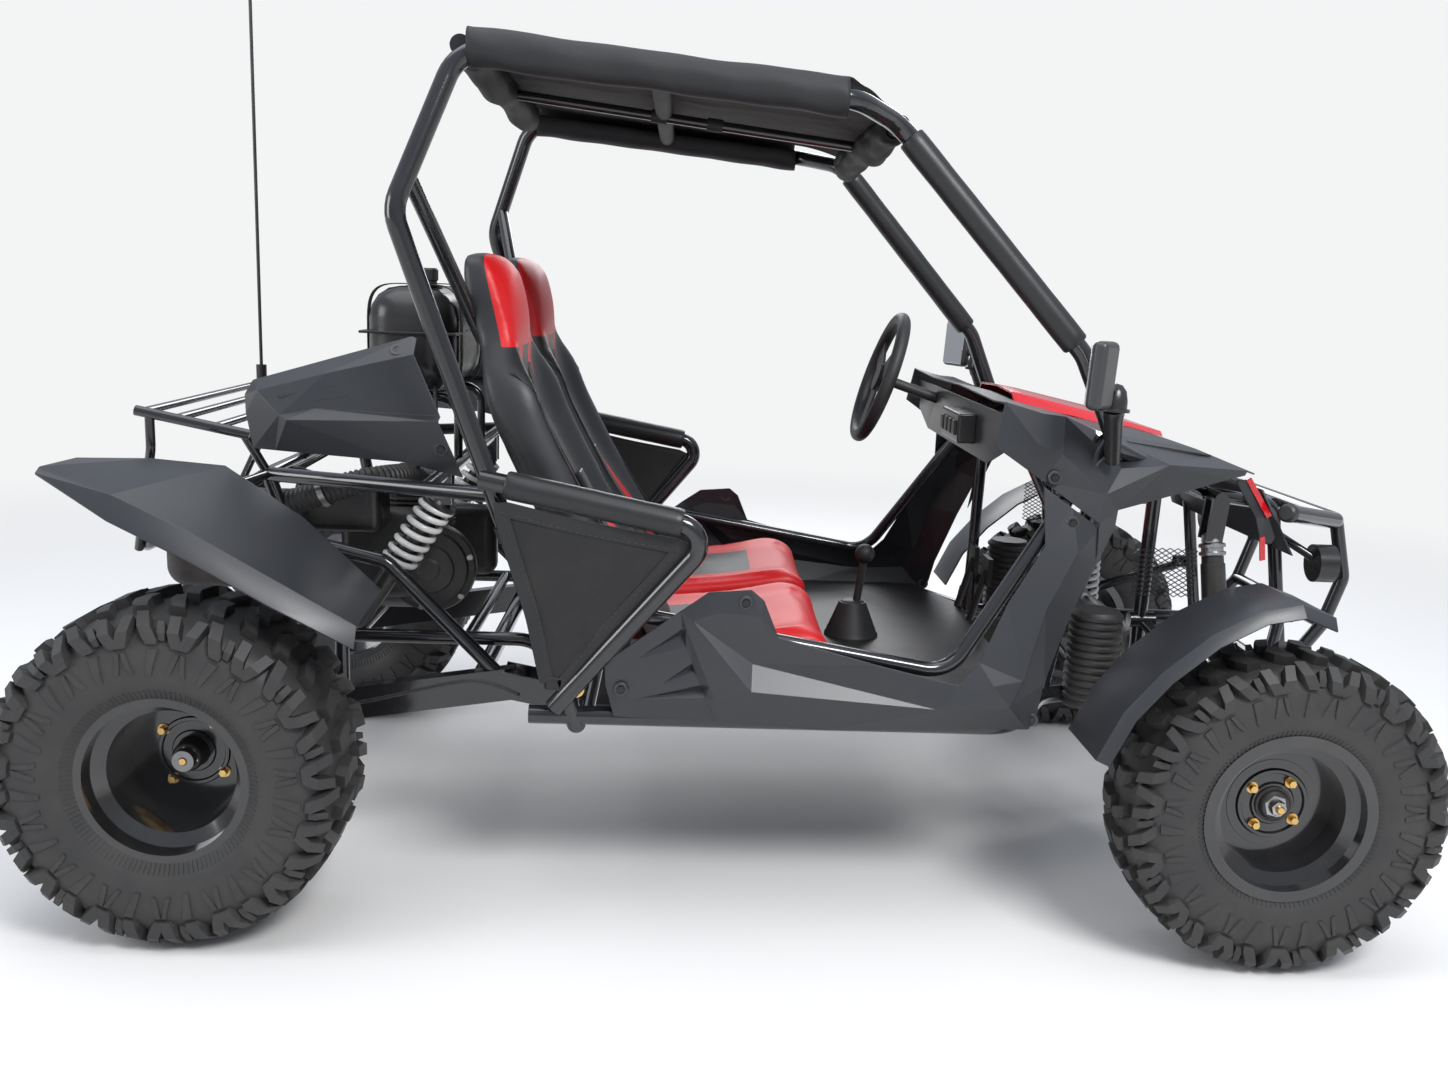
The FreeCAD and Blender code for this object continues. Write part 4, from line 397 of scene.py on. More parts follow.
PANEL_FOLDS = (
    ("facet_tip", "facet_high", "facet_end", "facet_low", "facet_tip"), ("facet_high", "facet_low"),
    ("shoulder", "bump_fold_rear", "bump_fold_front", "ledge_rear"),
    ("step_high", "step_mid", "step_low", "fold_low"),
    ("dip_high", "slot_one_deep", "slot_one_low", "slot_two_high", "slot_two_deep", "slot_two_low",
     "slot_three_high", "slot_three_deep", "dip_low"), ("slot_one_tip", "dip_high"),
    ("slot_one_tip", "slot_one_deep"), ("slot_one_tip", "slot_one_low"), ("slot_two_tip", "slot_two_high"),
    ("slot_two_tip", "slot_two_deep"), ("slot_two_tip", "slot_two_low"), ("slot_three_tip", "slot_three_high"),
    ("slot_three_tip", "slot_three_deep"), ("slot_three_tip", "dip_low"), ("step_high", "dip_high"),
    ("step_low", "dip_low"), ("facet_tip", "step_high"), ("facet_end", "toe", "shin", "knee", "thigh", "hip"),
    ("glint", "shin"), ("glint", "toe"), ("toe", "front_low"), ("glint", "leg_inner"), ("ledge_front", "glint"),
)
for side, word in SIDES:
    facet_skin(f"side_panel_{word}", PANEL_SPOTS, PANEL_OUTLINE, PANEL_FOLDS, side, 1.2, "side_panels")

# Rear covers: folded mouldings beside the tank, with a chamfer along the top and a lower band
# that turns in. Each is bolted to the rear tubes.
COVER_SPOTS = {
    "left": (68, 861, 420), "left_top": (77, 884, 404), "top": (337, 964, 392), "top_right": (346, 961, 396),
    "right_high": (347, 936, 428), "right_wedge": (393, 838, 446), "right_fold": (393, 831, 466),
    "right": (428, 735, 434), "low_mid": (330, 758, 434), "low": (120, 771, 434), "low_left": (82, 773, 428),
    "left_low": (70, 830, 424), "chamfer_left": (92, 869, 432), "chamfer_mid": (206, 901, 434),
    "fold_mid": (133, 832, 452), "fold_knee": (149, 826, 466), "wedge": (189, 844, 446),
}
COVER_OUTLINE = ("left", "left_top", "top", "top_right", "right_high", "right_wedge", "right_fold", "right",
                 "low_mid", "low", "low_left", "left_low")
COVER_FOLDS = (("left", "chamfer_left", "chamfer_mid", "right_high"),
               ("chamfer_left", "fold_mid", "fold_knee", "right_fold"), ("fold_knee", "wedge", "right_wedge"),
               ("fold_knee", "low"))
for side, word in SIDES:
    facet_skin(f"rear_cover_{word}", COVER_SPOTS, COVER_OUTLINE, COVER_FOLDS, side, 1.5, "rear_covers")

# Floor pan and pedals: folded steel sheet under satin black paint, scuffed and dusty underfoot.
# The pan is welded to the lower rails, and the pedals turn on a pin at its front.
pan_paint = finish("floor_pan_paint", (0.012, 0.012, 0.013), (0.018, 0.018, 0.018), (0.35, 0.5), 300, 0.05, 0.12)
coat_nodes(pan_paint, "floor_pan", "pedals")

# The hood insert: a gloss red plastic moulding with a sharp raised rib, let into the cowl and
# clipped to it.
red_gloss = finish("red_hood_plastic", (0.62, 0.005, 0.012), (0.5, 0.004, 0.01), (0.14, 0.22), coat=0.5, dust=0.03)
moulded("hood_insert", 2, red_gloss)

# Fasteners: zinc and brass hexagon heads on washers, driven through the mouldings and the
# wheels' discs.
brass = finish("brass_plate", (0.72, 0.48, 0.18), (0.62, 0.4, 0.14), (0.22, 0.36), metal=1.0, dust=0.05)
zinc = finish("zinc_plate", (0.5, 0.5, 0.5), (0.38, 0.38, 0.39), (0.25, 0.4), metal=1.0, dust=0.12)


def node_tree(name, inputs):
    """A Geometry Nodes tree with named inputs, and its two ends."""
    tree = bpy.data.node_groups.new(name, "GeometryNodeTree")
    tree.interface.new_socket("Geometry", in_out="INPUT", socket_type="NodeSocketGeometry")
    for label, kind in inputs:
        tree.interface.new_socket(label, in_out="INPUT", socket_type=f"NodeSocket{kind}")
    tree.interface.new_socket("Material", in_out="INPUT", socket_type="NodeSocketMaterial")
    tree.interface.new_socket("Geometry", in_out="OUTPUT", socket_type="NodeSocketGeometry")
    return tree, tree.nodes.new("NodeGroupInput"), tree.nodes.new("NodeGroupOutput")


def close_tree(tree, start, end, made):
    """Every tree ends in real geometry that carries its material."""
    real, paint = tree.nodes.new("GeometryNodeRealizeInstances"), tree.nodes.new("GeometryNodeSetMaterial")
    wire(tree, ((made, 0), (real, 0)), ((real, 0), (paint, 0)), ((start, "Material"), (paint, "Material")),
         ((paint, 0), (end, 0)))


def evaluated_mesh(holder):
    """The mesh that an object's modifiers make."""
    return bpy.data.meshes.new_from_object(holder.evaluated_get(bpy.context.evaluated_depsgraph_get()))


def grown(name, seed, tree, values, body, material):
    """Runs a tree on a seed mesh and keeps the result as a plain mesh on a body."""
    holder = linked(f"{name}_seed", seed)
    modifier = holder.modifiers.new("grow", "NODES")
    modifier.node_group = tree
    for item in tree.interface.items_tree:
        if item.in_out == "INPUT" and item.name in values:
            modifier[item.identifier] = values[item.name]
        if item.in_out == "INPUT" and item.name == "Material":
            modifier[item.identifier] = material
    bpy.context.view_layer.update()
    mesh = evaluated_mesh(holder)
    mesh.name = name
    piece = linked(name, mesh)
    bpy.data.objects.remove(holder)
    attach(piece, body)
    return piece


def aimed(tree, start, end, made):
    """Ends a tree with its shape at each point of the seed, turned along the point's own way."""
    new = tree.nodes.new
    spread, way = new("GeometryNodeInstanceOnPoints"), new("GeometryNodeInputNamedAttribute")
    aim = new("FunctionNodeAlignRotationToVector")
    way.data_type = "FLOAT_VECTOR"
    way.inputs["Name"].default_value = "way"
    aim.axis = "Z"
    wire(tree, ((start, 0), (spread, "Points")), ((made, 0), (spread, "Instance")), ((way, 0), (aim, "Vector")),
         ((aim, 0), (spread, "Rotation")))
    close_tree(tree, start, end, spread)
    return tree


def aimed_seed(name, spots):
    """Bare points for such a tree, from pairs of a place and a way."""
    seed = bpy.data.meshes.new(f"{name}_seed")
    seed.from_pydata([tuple(spot) for spot, _ in spots], [], [])
    for value, (_, way) in zip(seed.attributes.new("way", "FLOAT_VECTOR", "POINT").data, spots):
        value.vector = way
    return seed


def fastener_tree():
    """A hexagon head on a round washer at each point of the seed."""
    tree, start, end = node_tree("hexagon_heads", (("Head radius", "Float"), ("Head height", "Float"),
                                                   ("Washer radius", "Float")))
    new = tree.nodes.new
    head, washer = new("GeometryNodeMeshCylinder"), new("GeometryNodeMeshCylinder")
    both = new("GeometryNodeJoinGeometry")
    head.inputs["Vertices"].default_value = 6
    washer.inputs["Vertices"].default_value = 20
    washer.inputs["Depth"].default_value = 0.0016
    lift, half, up = new("GeometryNodeTransform"), new("ShaderNodeMath"), new("ShaderNodeCombineXYZ")
    half.operation = "MULTIPLY"
    half.inputs[1].default_value = 0.5
    wire(tree, ((start, "Head radius"), (head, "Radius")), ((start, "Head height"), (head, "Depth")),
         ((start, "Washer radius"), (washer, "Radius")), ((start, "Head height"), (half, 0)), ((half, 0), (up, 2)),
         ((head, 0), (lift, 0)), ((up, 0), (lift, "Translation")), ((lift, 0), (both, 0)), ((washer, 0), (both, 0)))
    return aimed(tree, start, end, both)


HEADS = fastener_tree()


def fasteners(name, spots, body, material, radius, height, washer):
    """Hexagon heads at places, each with the way it faces."""
    sizes = {"Head radius": radius, "Head height": height, "Washer radius": washer}
    grown(name, aimed_seed(name, spots), HEADS, sizes, body, material)


OUT = {1: Vector((0, 1, 0)), -1: Vector((0, -1, 0))}

# Tyres: knobbly off-road rubber. Skewed shoulder lugs and broken chevrons stand on a rounded
# carcass, and a ring of small ribs guards the bead. Each tyre is one moulding, pressed on its rim.
tyre_black = finish("tyre_rubber", (0.022, 0.022, 0.023), (0.028, 0.027, 0.026), (0.5, 0.62), 800, 0.12, 0.1,
                    cloud=8)
# The carcass is drawn in mm of (out, radius) for one tyre: its half width, its bead and its rubber's height.
CARCASS = ((0, 264.5), (36, 264), (66, 262), (90, 256), (107, 246), (118, 232), (123.5, 214), (125, 196),
           (122.5, 176), (116, 158), (108, 145), (102, 136), (99, 131), (97, 127.5))
DRAWN_HALF, BEAD_RADIUS, DRAWN_WALL = 127, 127, 152.5


def carcass(radius, half_width):
    """The carcass outline for a tyre's size, in (out, radius), with its corners rounded."""
    fit = [(w * half_width / DRAWN_HALF, BEAD_RADIUS + (r - BEAD_RADIUS) * (radius - BEAD_RADIUS) / DRAWN_WALL)
           for w, r in CARCASS]
    for _ in range(2):
        finer = [fit[0]]
        for (w1, r1), (w2, r2) in zip(fit, fit[1:]):
            finer += [(0.75 * w1 + 0.25 * w2, 0.75 * r1 + 0.25 * r2),
                      (0.25 * w1 + 0.75 * w2, 0.25 * r1 + 0.75 * r2)]
        fit = finer + [fit[-1]]
    return fit


def on_carcass(line, share):
    """A point and its way out of the rubber at a share of the outline from the crown to the bead."""
    spot = share * (len(line) - 1)
    low = min(int(spot), len(line) - 2)
    (w1, r1), (w2, r2) = line[low], line[low + 1]
    long = math.hypot(w2 - w1, r2 - r1) or 1
    part = spot - low
    return (w1 + (w2 - w1) * part, r1 + (r2 - r1) * part), ((r1 - r2) / long, (w2 - w1) / long)


def tube_faces(rings, wide, lids=True):
    """Faces between rings of points that close on themselves, with a lid at both ends."""
    faces = [(k * wide + j, k * wide + (j + 1) % wide, (k + 1) * wide + (j + 1) % wide, (k + 1) * wide + j)
             for k in range(rings - 1) for j in range(wide)]
    if lids:
        faces += [tuple(reversed(range(wide))), tuple(range((rings - 1) * wide, rings * wide))]
    return faces


def lug(line, side, stations, most):
    """A rubber block that follows the carcass through stations of share, angle, half angle and height."""
    points = []
    for share, angle, half, height in stations:
        (w, r), (nw, nr) = on_carcass(line, share)
        for turn, rise in ((-half - 0.7, -2), (-half, height), (half, height), (half + 0.7, -2)):
            away, radius = w + nw * rise, min(r + nr * rise, most)
            a = math.radians(angle + turn)
            points.append((math.sin(a) * radius / 1000, side * away / 1000, math.cos(a) * radius / 1000))
    return points, tube_faces(len(stations), 4)


def turning_tree():
    """Copies one pitch of a pattern round the wheel's axle."""
    tree, start, end = node_tree("pitches_round_a_wheel", (("Count", "Int"), ("Centre", "Vector")))
    new = tree.nodes.new
    line, centre = new("GeometryNodeMeshLine"), new("GeometryNodeSetPosition")
    spread = new("GeometryNodeInstanceOnPoints")
    line.inputs["Offset"].default_value = (0, 0, 0)
    index, step, angle = new("GeometryNodeInputIndex"), new("ShaderNodeMath"), new("ShaderNodeMath")
    turn = new("ShaderNodeCombineXYZ")
    step.operation = "DIVIDE"
    step.inputs[0].default_value = 2 * math.pi
    angle.operation = "MULTIPLY"
    wire(tree, ((start, "Count"), (line, "Count")), ((line, 0), (centre, 0)),
         ((start, "Centre"), (centre, "Position")), ((centre, 0), (spread, "Points")),
         ((start, 0), (spread, "Instance")), ((start, "Count"), (step, 1)), ((index, 0), (angle, 0)),
         ((step, 0), (angle, 1)), ((angle, 0), (turn, 1)), ((turn, 0), (spread, "Rotation")))
    close_tree(tree, start, end, spread)
    return tree


PITCHES = turning_tree()
TREAD_PITCHES, BEAD_RIBS = 15, 120
DROP = 0.72  # how high a lug still stands where it turns over the shoulder
# The lugs of one pitch on one side: half pitches on from its start, and stations of share of the carcass,
# angle, half angle, share of the tread's height and mm more.
TREAD_LUGS = (
    (0, ((0.27, -4.3, 1.7, 1, 3.5), (0.36, -3.2, 2.0, 1, 4), (0.40, -1.8, 2.3, DROP, 0), (0.43, -1.2, 1.8, 0, 5))),
    (0, ((0.27, 4.4, 1.7, 1, 3.5), (0.36, 3.2, 2.0, 1, 4), (0.40, 1.8, 2.3, DROP, 0), (0.43, 1.2, 1.8, 0, 5))),
    (1, ((0.24, -3.6, 1.9, 1, 3), (0.33, -1.6, 2.2, 1, 3.5), (0.385, 0.4, 2.5, DROP, 0), (0.415, 1.0, 1.9, 0, 5))),
    (1, ((0.30, 3.6, 1.1, 1, 2), (0.355, 4.2, 1.4, DROP, 0), (0.39, 4.6, 1.1, 0, 5))),
    (0, ((0.455, -0.9, 0.9, 0, 3.4), (0.55, -2.6, 1.1, 0, 3.0), (0.585, -3.6, 0.9, 0, 2.2))),
    (0, ((0.455, 1.4, 0.9, 0, 3.4), (0.55, 2.6, 1.1, 0, 3.0), (0.585, 3.6, 0.9, 0, 2.2))),
    (1, ((0.44, 1.6, 1.9, 0, 3.6), (0.53, 0.4, 1.6, 0, 3.2), (0.60, -0.6, 1.1, 0, 2.2))),
    (0, ((0.015, 5.2, 2.0, 1, 3), (0.085, 3.6, 2.6, 1, 3), (0.155, 5.0, 2.5, 1, 3), (0.195, 6.6, 1.9, 1, 2.5))),
    (1, ((0.05, 2.6, 1.7, 1, 2.5), (0.12, 3.8, 2.3, 1, 2.5), (0.19, 6.0, 2.1, 1, 2))),
)


def seed_mesh(name, parts):
    """One mesh out of several lists of points and faces."""
    points, faces = [], []
    for some, loops in parts:
        faces += [tuple(index + len(points) for index in loop) for loop in loops]
        points += some
    return outward_mesh(name, points, faces, weld=False)


def joined(name, pieces, body):
    """Several meshes as one piece."""
    select_only(*pieces)
    bpy.ops.object.join()
    whole = pieces[0]
    whole.name = name
    whole.select_set(False)
    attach(whole, body)
    return whole


def tyre(name, centre, radius, half_width, body):
    """The carcass and its lugs, round one wheel centre."""
    line = carcass(radius, half_width)
    line_round = [(r / 1000, w / 1000) for w, r in line]
    outline = [(r, -w) for r, w in reversed(line_round)] + line_round[1:]
    inner = [(0.1275, outline[-1][1] - 0.004), (0.1275, outline[0][1] + 0.004)]
    shell = lathe(f"{name}_carcass", outline + inner + outline[:1], centre, Vector((0, 1, 0)), body, tyre_black, 96)
    step, parts = 360 / TREAD_PITCHES, []
    high = radius - line[0][1]
    for side in (1, -1):
        for halves, stations in TREAD_LUGS:
            start = (halves + (side < 0)) * step / 2
            parts.append(lug(line, side, [(share, start + angle, half, part * high + more)
                                          for share, angle, half, part, more in stations], radius))
    lugs = grown(f"{name}_lugs", seed_mesh(f"{name}_pitch", parts), PITCHES,
                 {"Count": TREAD_PITCHES, "Centre": centre}, body, tyre_black)
    ribs = [lug(line, side, [(0.72, 0, 0.35, 1.2), (0.78, 0, 0.35, 1.4), (0.84, 0, 0.35, 1.0)],
                radius) for side in (1, -1)]
    guard = grown(f"{name}_ribs", seed_mesh(f"{name}_rib", ribs), PITCHES, {"Count": BEAD_RIBS, "Centre": centre},
                  body, tyre_black)
    return joined(name, [crease(shell, 40), lugs, guard], body)


REAR_RADIUS, FRONT_RADIUS, WHEELBASE = 279.5, 267, 1773
for side in (1, -1):
    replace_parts(tyre(f"rear_tyre_{side}", at(0, side * 568, REAR_RADIUS), REAR_RADIUS, 122.5, "rear_axle"),
                "rear_tyres")
for side, word in SIDES:
    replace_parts(tyre(f"front_tyre_tread_{word}", at(WHEELBASE, side * 614, FRONT_RADIUS), FRONT_RADIUS, 81,
                     f"front_wheel_{word}"), f"front_tyre_{word}")

# Rims: spun steel with a deep dish, in gloss black, held by four brass studs. A silver castle
# nut and a washer hold the hub on its axle.
rim_black = finish("rim_paint", (0.008, 0.008, 0.009), (0.014, 0.014, 0.015), (0.1, 0.2), coat=0.7, dust=0.08)
coat_nodes(rim_black, "rear_rims", "front_rim_left", "front_rim_right")
hub_iron = finish("hub_cast_iron", (0.02, 0.02, 0.021), (0.035, 0.034, 0.033), (0.35, 0.5), metal=0.3, dust=0.2)
coat_nodes(hub_iron, "front_hub_left", "front_hub_right", "knuckle_left", "knuckle_right")
axle_steel = finish("axle_steel", (0.3, 0.3, 0.31), (0.2, 0.2, 0.21), (0.3, 0.45), metal=1.0, dust=0.15)
coat_nodes(axle_steel, "rear_axle", "tie_rods", "lower_column")


def wheel_trim(word, centre, side, face, body, tip, radius):
    """A pressed disc with its rings, the hub boss, four studs on a radius and the axle nut. The
    disc's face and the axle's tip are distances out from the middle of the buggy."""
    rings = [(0.026, face + 0.003), (0.034, face + 0.003), (0.037, face - 0.001), (0.050, face - 0.001),
             (0.0525, face + 0.0035), (0.0575, face + 0.0035), (0.060, face - 0.001), (0.0745, face - 0.001),
             (0.0765, face - 0.006), (0.026, face - 0.006), (0.026, face + 0.003)]
    lathe(f"wheel_rings_{word}", rings, centre, OUT[side], body, rim_black, 96, sharp=30)
    boss = [(0, tip - 0.014), (0.022, tip - 0.014), (0.0245, tip - 0.017), (0.026, face + 0.004),
            (0.030, face + 0.001), (0, face)]
    lathe(f"hub_boss_{word}", boss, centre, OUT[side], body, hub_iron, 48, sharp=30)
    studs = []
    for k in range(4):
        a = math.radians(42 + 90 * k + 6 * side)
        studs.append((centre + Vector((math.sin(a) * radius, side * (face + 0.001), math.cos(a) * radius)),
                      OUT[side]))
    fasteners(f"wheel_nuts_{word}", studs, body, brass, 0.0062, 0.011, 0.0095)
    stub = [(0, tip + 0.006), (0.0055, tip + 0.006), (0.007, tip + 0.004), (0.007, tip - 0.002), (0, tip - 0.002)]
    lathe(f"axle_tip_{word}", stub, centre, OUT[side], body, brass, 24, sharp=30)
    nut = [(0.007, tip - 0.001), (0.0125, tip - 0.002), (0.0135, tip - 0.004), (0.0135, tip - 0.013),
           (0.019, tip - 0.014), (0.019, tip - 0.018), (0, tip - 0.018)]
    lathe(f"axle_nut_{word}", nut, centre, OUT[side], body, zinc, 6, sharp=30)


for side, word in SIDES:
    wheel_trim(f"rear_{word}", at(0, 0, REAR_RADIUS), side, 0.522, "rear_axle", 0.571, 0.06)
    wheel_trim(f"front_{word}", at(WHEELBASE, 0, FRONT_RADIUS), side, 0.612, f"front_wheel_{word}", 0.642, 0.045)

# Foam sleeves on the pillars and side bars: closed foam in smooth vinyl, slid over the tube and
# drawn in at both ends.
sleeve_vinyl = finish("sleeve_vinyl", (0.016, 0.017, 0.018), (0.019, 0.02, 0.021), (0.36, 0.42), 400, 0.0, 0.01,
                      shine=0.4)
thread = finish("black_thread", (0.03, 0.03, 0.032), (0.05, 0.05, 0.052), (0.6, 0.8), 2500, 0.3)
SLEEVE_RADIUS, SLEEVE_MOUTH = 0.0229, 0.0163


def foam_sleeve(name, first, last):
    """A crowned sleeve round a straight tube, its ends drawn in over the tube."""
    axis = last - first
    long = axis.length
    outline = [(SLEEVE_MOUTH, 0.002), (SLEEVE_RADIUS * 0.9, 0.0), (SLEEVE_RADIUS * 0.985, 0.003)]
    for k in range(1, 30):
        share = k / 30
        dent = 0.012 * math.sin(9 * share) * math.sin(23 * share)
        outline.append((SLEEVE_RADIUS * min(1, 0.995 + dent), long * (0.01 + 0.98 * share)))
    outline += [(SLEEVE_RADIUS * 0.985, long - 0.003), (SLEEVE_RADIUS * 0.9, long), (SLEEVE_MOUTH, long - 0.002),
                (SLEEVE_MOUTH, 0.002)]
    piece = lathe(name, outline, first, axis, "chassis", sleeve_vinyl, 40, sharp=50)
    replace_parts(piece, "bar_pads")


def stitch_tree():
    """A short thread at each point of the seed."""
    tree, start, end = node_tree("thread_stitches", (("Length", "Float"), ("Thickness", "Float")))
    stitch = tree.nodes.new("GeometryNodeMeshCylinder")
    stitch.inputs["Vertices"].default_value = 6
    wire(tree, ((start, "Length"), (stitch, "Depth")), ((start, "Thickness"), (stitch, "Radius")))
    return aimed(tree, start, end, stitch)


STITCH = stitch_tree()


def stitches(name, spots, long=0.0055, thick=0.0006, material=thread):
    """A row of stitches, from pairs of a place and the seam's way."""
    grown(name, aimed_seed(name, spots), STITCH, {"Length": long, "Thickness": thick}, "chassis", material)


for side, word in SIDES:
    top, low = at(1129, side * 400, 1331), at(1451, side * 437, 974)
    foam_sleeve(f"pillar_sleeve_{word}", top.lerp(low, 0.055), top.lerp(low, 0.955))
    rear, front = at(474, side * 556, 753), at(852, side * 573, 683)
    foam_sleeve(f"side_bar_sleeve_{word}", rear.lerp(front, 0.11), rear.lerp(front, 0.85))

# The roof: one sheet of black canvas over the two side tubes. Its long edges are rolled round
# the tubes, and its ends are gathered round the cross tubes and tied.
canvas = finish("black_canvas", (0.017, 0.018, 0.02), (0.023, 0.024, 0.026), (0.5, 0.64), 1500, 0.12, 0.04,
                depth=0.0006, shine=0.3)
canvas_under = finish("canvas_underside", (0.05, 0.048, 0.046), (0.04, 0.038, 0.036), (0.75, 0.9), 1500, 0.15,
                      0.05, shine=0.2)
# A darker copy of the black canvas: painted shade on the gathered ends and on the cross sleeve, which the lamps
# light too brightly.
canvas_painted_dark = finish("canvas_gathered_painted_shade", (0.009, 0.009, 0.01), (0.012, 0.012, 0.013), (0.55, 0.7), 1500, 0.12, 0.02,
                     depth=0.0006, shine=0.2)
REAR_ROLL, FRONT_ROLL, ROLL_RADIUS = at(446, 486, 1410), at(1030, 503, 1357), 0.0298
GATHER, GATHER_DROP = at(1130, 0, 1355), 0.010
CANVAS_THICK, TUBE_REACH = 0.002, 0.0172


def puckered(along, turn):
    """The small creases of a rolled edge, at a share of its length and an angle round it."""
    ends = math.exp(-14 * along) + math.exp(-14 * (1 - along))
    folds = 0.05 * ends * math.sin(3 * turn + 40 * along) + 0.018 * math.sin(31 * along + 2.2 * turn)
    return 1 + folds + 0.02 * math.sin(7 * along + 1)


def roof_sheet():
    """The canvas from the inner edge of one roll, over the roof, to the other."""
    rows, across = 72, 84
    points, faces = [], []
    for i in range(rows + 1):
        along = i / rows
        tube = REAR_ROLL.lerp(FRONT_ROLL, along)
        half = []
        for k in range(28):
            a = math.radians(-205 + 300 * k / 27)
            roll = ROLL_RADIUS * puckered(along, a)
            half.append((tube.y + roll * math.cos(a), tube.z + roll * math.sin(a)))
        inner_y, crown = half[-1]
        middle = []
        for k in range(1, across // 2 + 1):
            share = k / (across // 2)
            slack = math.sin(math.pi * share / 2)
            ripple = 0.0009 * math.sin(17 * along + 5 * share) + 0.0005 * math.sin(43 * along - 9 * share)
            middle.append((inner_y * (1 - share), crown - (0.007 - ripple) * slack))
        left = half + middle
        line = left + [(-y, z + 0.0008 * math.sin(17 * along)) for y, z in reversed(left[:-1])]
        points += [Vector((tube.x, y, z)) for y, z in line]
        wide = len(line)
    for i in range(rows):
        for j in range(wide - 1):
            faces.append((i * wide + j, (i + 1) * wide + j, (i + 1) * wide + j + 1, i * wide + j + 1))
    edge, rolled = points[-wide:], 25
    for i in range(1, 15):
        part = i / 14
        for j in range(wide):
            y = edge[j].y * (1 - 0.24 * part)
            ripple = 0.0012 * math.sin(9 * part + 60 * y)
            z = edge[j].z + (GATHER.z - GATHER_DROP * part - edge[j].z) * part ** 1.2 + ripple
            points.append(Vector((edge[j].x + (GATHER.x - edge[j].x) * part, y, z)))
        row = (rows + i - 1) * wide
        for j in range(rolled, wide - 1 - rolled):
            faces.append((row + j, row + wide + j, row + wide + j + 1, row + j + 1))
    length = sum((points[j + 1] - points[j]).length for j in range(wide - 1))
    return points, faces, length, (FRONT_ROLL - REAR_ROLL).length + 0.1


spots, loops, cloth_wide, cloth_long = roof_sheet()
used = sorted({index for loop in loops for index in loop})
place_of = {index: k for k, index in enumerate(used)}
roof = make("roof_canvas", [spots[index] for index in used],
            [tuple(place_of[index] for index in loop) for loop in loops], "chassis", canvas)
roof.data.materials.append(canvas_under)
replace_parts(roof, "roof_canopy")
gauge = thickened(roof, CANVAS_THICK)
gauge.material_offset = 1
gauge.material_offset_rim = 0


def gathered_end(name, centre_x, half_y, height, radius, lump, turns):
    """Canvas gathered round a cross tube, bunched into soft folds, in the darker canvas copy that paints shade on
    it.
    """
    rows, round_steps = 110, 44
    points = []
    for i in range(rows + 1):
        along = i / rows
        y = half_y * (1 - 2 * along)
        drawn = 1 - math.exp(-60 * along) - math.exp(-60 * (1 - along))
        for k in range(round_steps):
            a = 2 * math.pi * k / round_steps
            fold = lump * (0.5 * math.sin(3 * a + 9 * along) + 0.35 * math.sin(turns * along + 2 * a)
                           + 0.25 * math.sin(5 * a - 31 * along))
            sag = 0.006 * max(0, -math.sin(a)) * (1 + math.sin(12 * along))
            reach = TUBE_REACH + (radius + fold + sag - TUBE_REACH) * drawn
            points.append(at(centre_x, y, height) + Vector((math.cos(a), 0, math.sin(a))) * reach)
    piece = make(name, points, tube_faces(rows + 1, round_steps, lids=False), "chassis", canvas_painted_dark)
    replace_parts(piece, "roof_canopy")
    thickened(piece, CANVAS_THICK)


gathered_end("roof_front_gather", 1128, 352, 1331, 0.0265, 0.0035, 37)
gathered_end("roof_rear_gather", 436, 420, 1411, 0.0255, 0.0025, 29)

# A canvas sleeve on the roof's cross tube, in the darker canvas copy: painted shade.
cross_end = at(738.5, 452, 1383.5)
sleeve = [(0.0135, 0), (0.0165, 0.002), (0.0165, 0.902), (0.0135, 0.904), (0.0135, 0)]
lathe("roof_cross_sleeve", sleeve, cross_end, Vector((0, -1, 0)), "chassis", canvas_painted_dark, 32,
      sharp=50)

webbing = finish("black_webbing", (0.018, 0.018, 0.019), (0.026, 0.026, 0.028), (0.5, 0.65), 1800, 0.3, 0.03,
                 shine=0.3)


def strip(name, line, wide, across, body, material, thick=0.0016):
    """A flat strap along a line of points; across gives its width's way at each point."""
    points = []
    ways = across if isinstance(across, list) else [across] * len(line)
    for k, (spot, way) in enumerate(zip(line, ways)):
        ahead = (line[min(k + 1, len(line) - 1)] - line[max(k - 1, 0)]).normalized()
        way = (way - ahead * way.dot(ahead)).normalized()
        out = ahead.cross(way)
        for a, b in ((-1, -1), (1, -1), (1, 1), (-1, 1)):
            points.append(spot + way * (wide / 2 * a) + out * (thick / 2 * b))
    crease(make(name, points, tube_faces(len(line), 4), body, material), 40)


def round_tube(centre, way, radius):
    """A closed line of points round a tube that runs along a way."""
    out, fore = basis(way)
    turns = [math.radians(15 * step) for step in range(25)]
    return [centre + (out * math.cos(a) + fore * math.sin(a)) * radius for a in turns]


# A thin tube runs down the middle under the canvas, with two straps that tie the canvas to it.
rail_rear, rail_front = at(450, 0, 1405), at(1116, 0, 1333)
rail_long = (rail_front - rail_rear).length
lathe("roof_middle_tube", [(0, 0), (0.0095, 0), (0.0095, rail_long), (0, rail_long)], rail_rear,
      rail_front - rail_rear, "chassis", gloss_black, 24, sharp=40)
for k, share in enumerate((0.42, 0.58)):
    way = (rail_front - rail_rear).normalized()
    strip(f"roof_tie_{k}", round_tube(rail_rear.lerp(rail_front, share), way, 0.0115), 0.03, way, "chassis",
          webbing, 0.002)

# Side nets: coarse cloth laced inside the frame beside each seat, with a bound edge and three
# straps that turn round the hoop and close with a snap.
net_cloth = finish("side_net_cloth", (0.018, 0.018, 0.019), (0.024, 0.024, 0.025), (0.6, 0.75), 1100, 0.25, 0.05,
                   depth=0.0008, shine=0.25)
snap_black = finish("snap_black", (0.012, 0.012, 0.013), (0.018, 0.018, 0.019), (0.3, 0.4), dust=0.03)


def net_out(z):
    """How far out the net hangs at a height, between the hoop below and the side bar above."""
    return 539 + 30 * max(0, min(1, (z - 400) / 320))


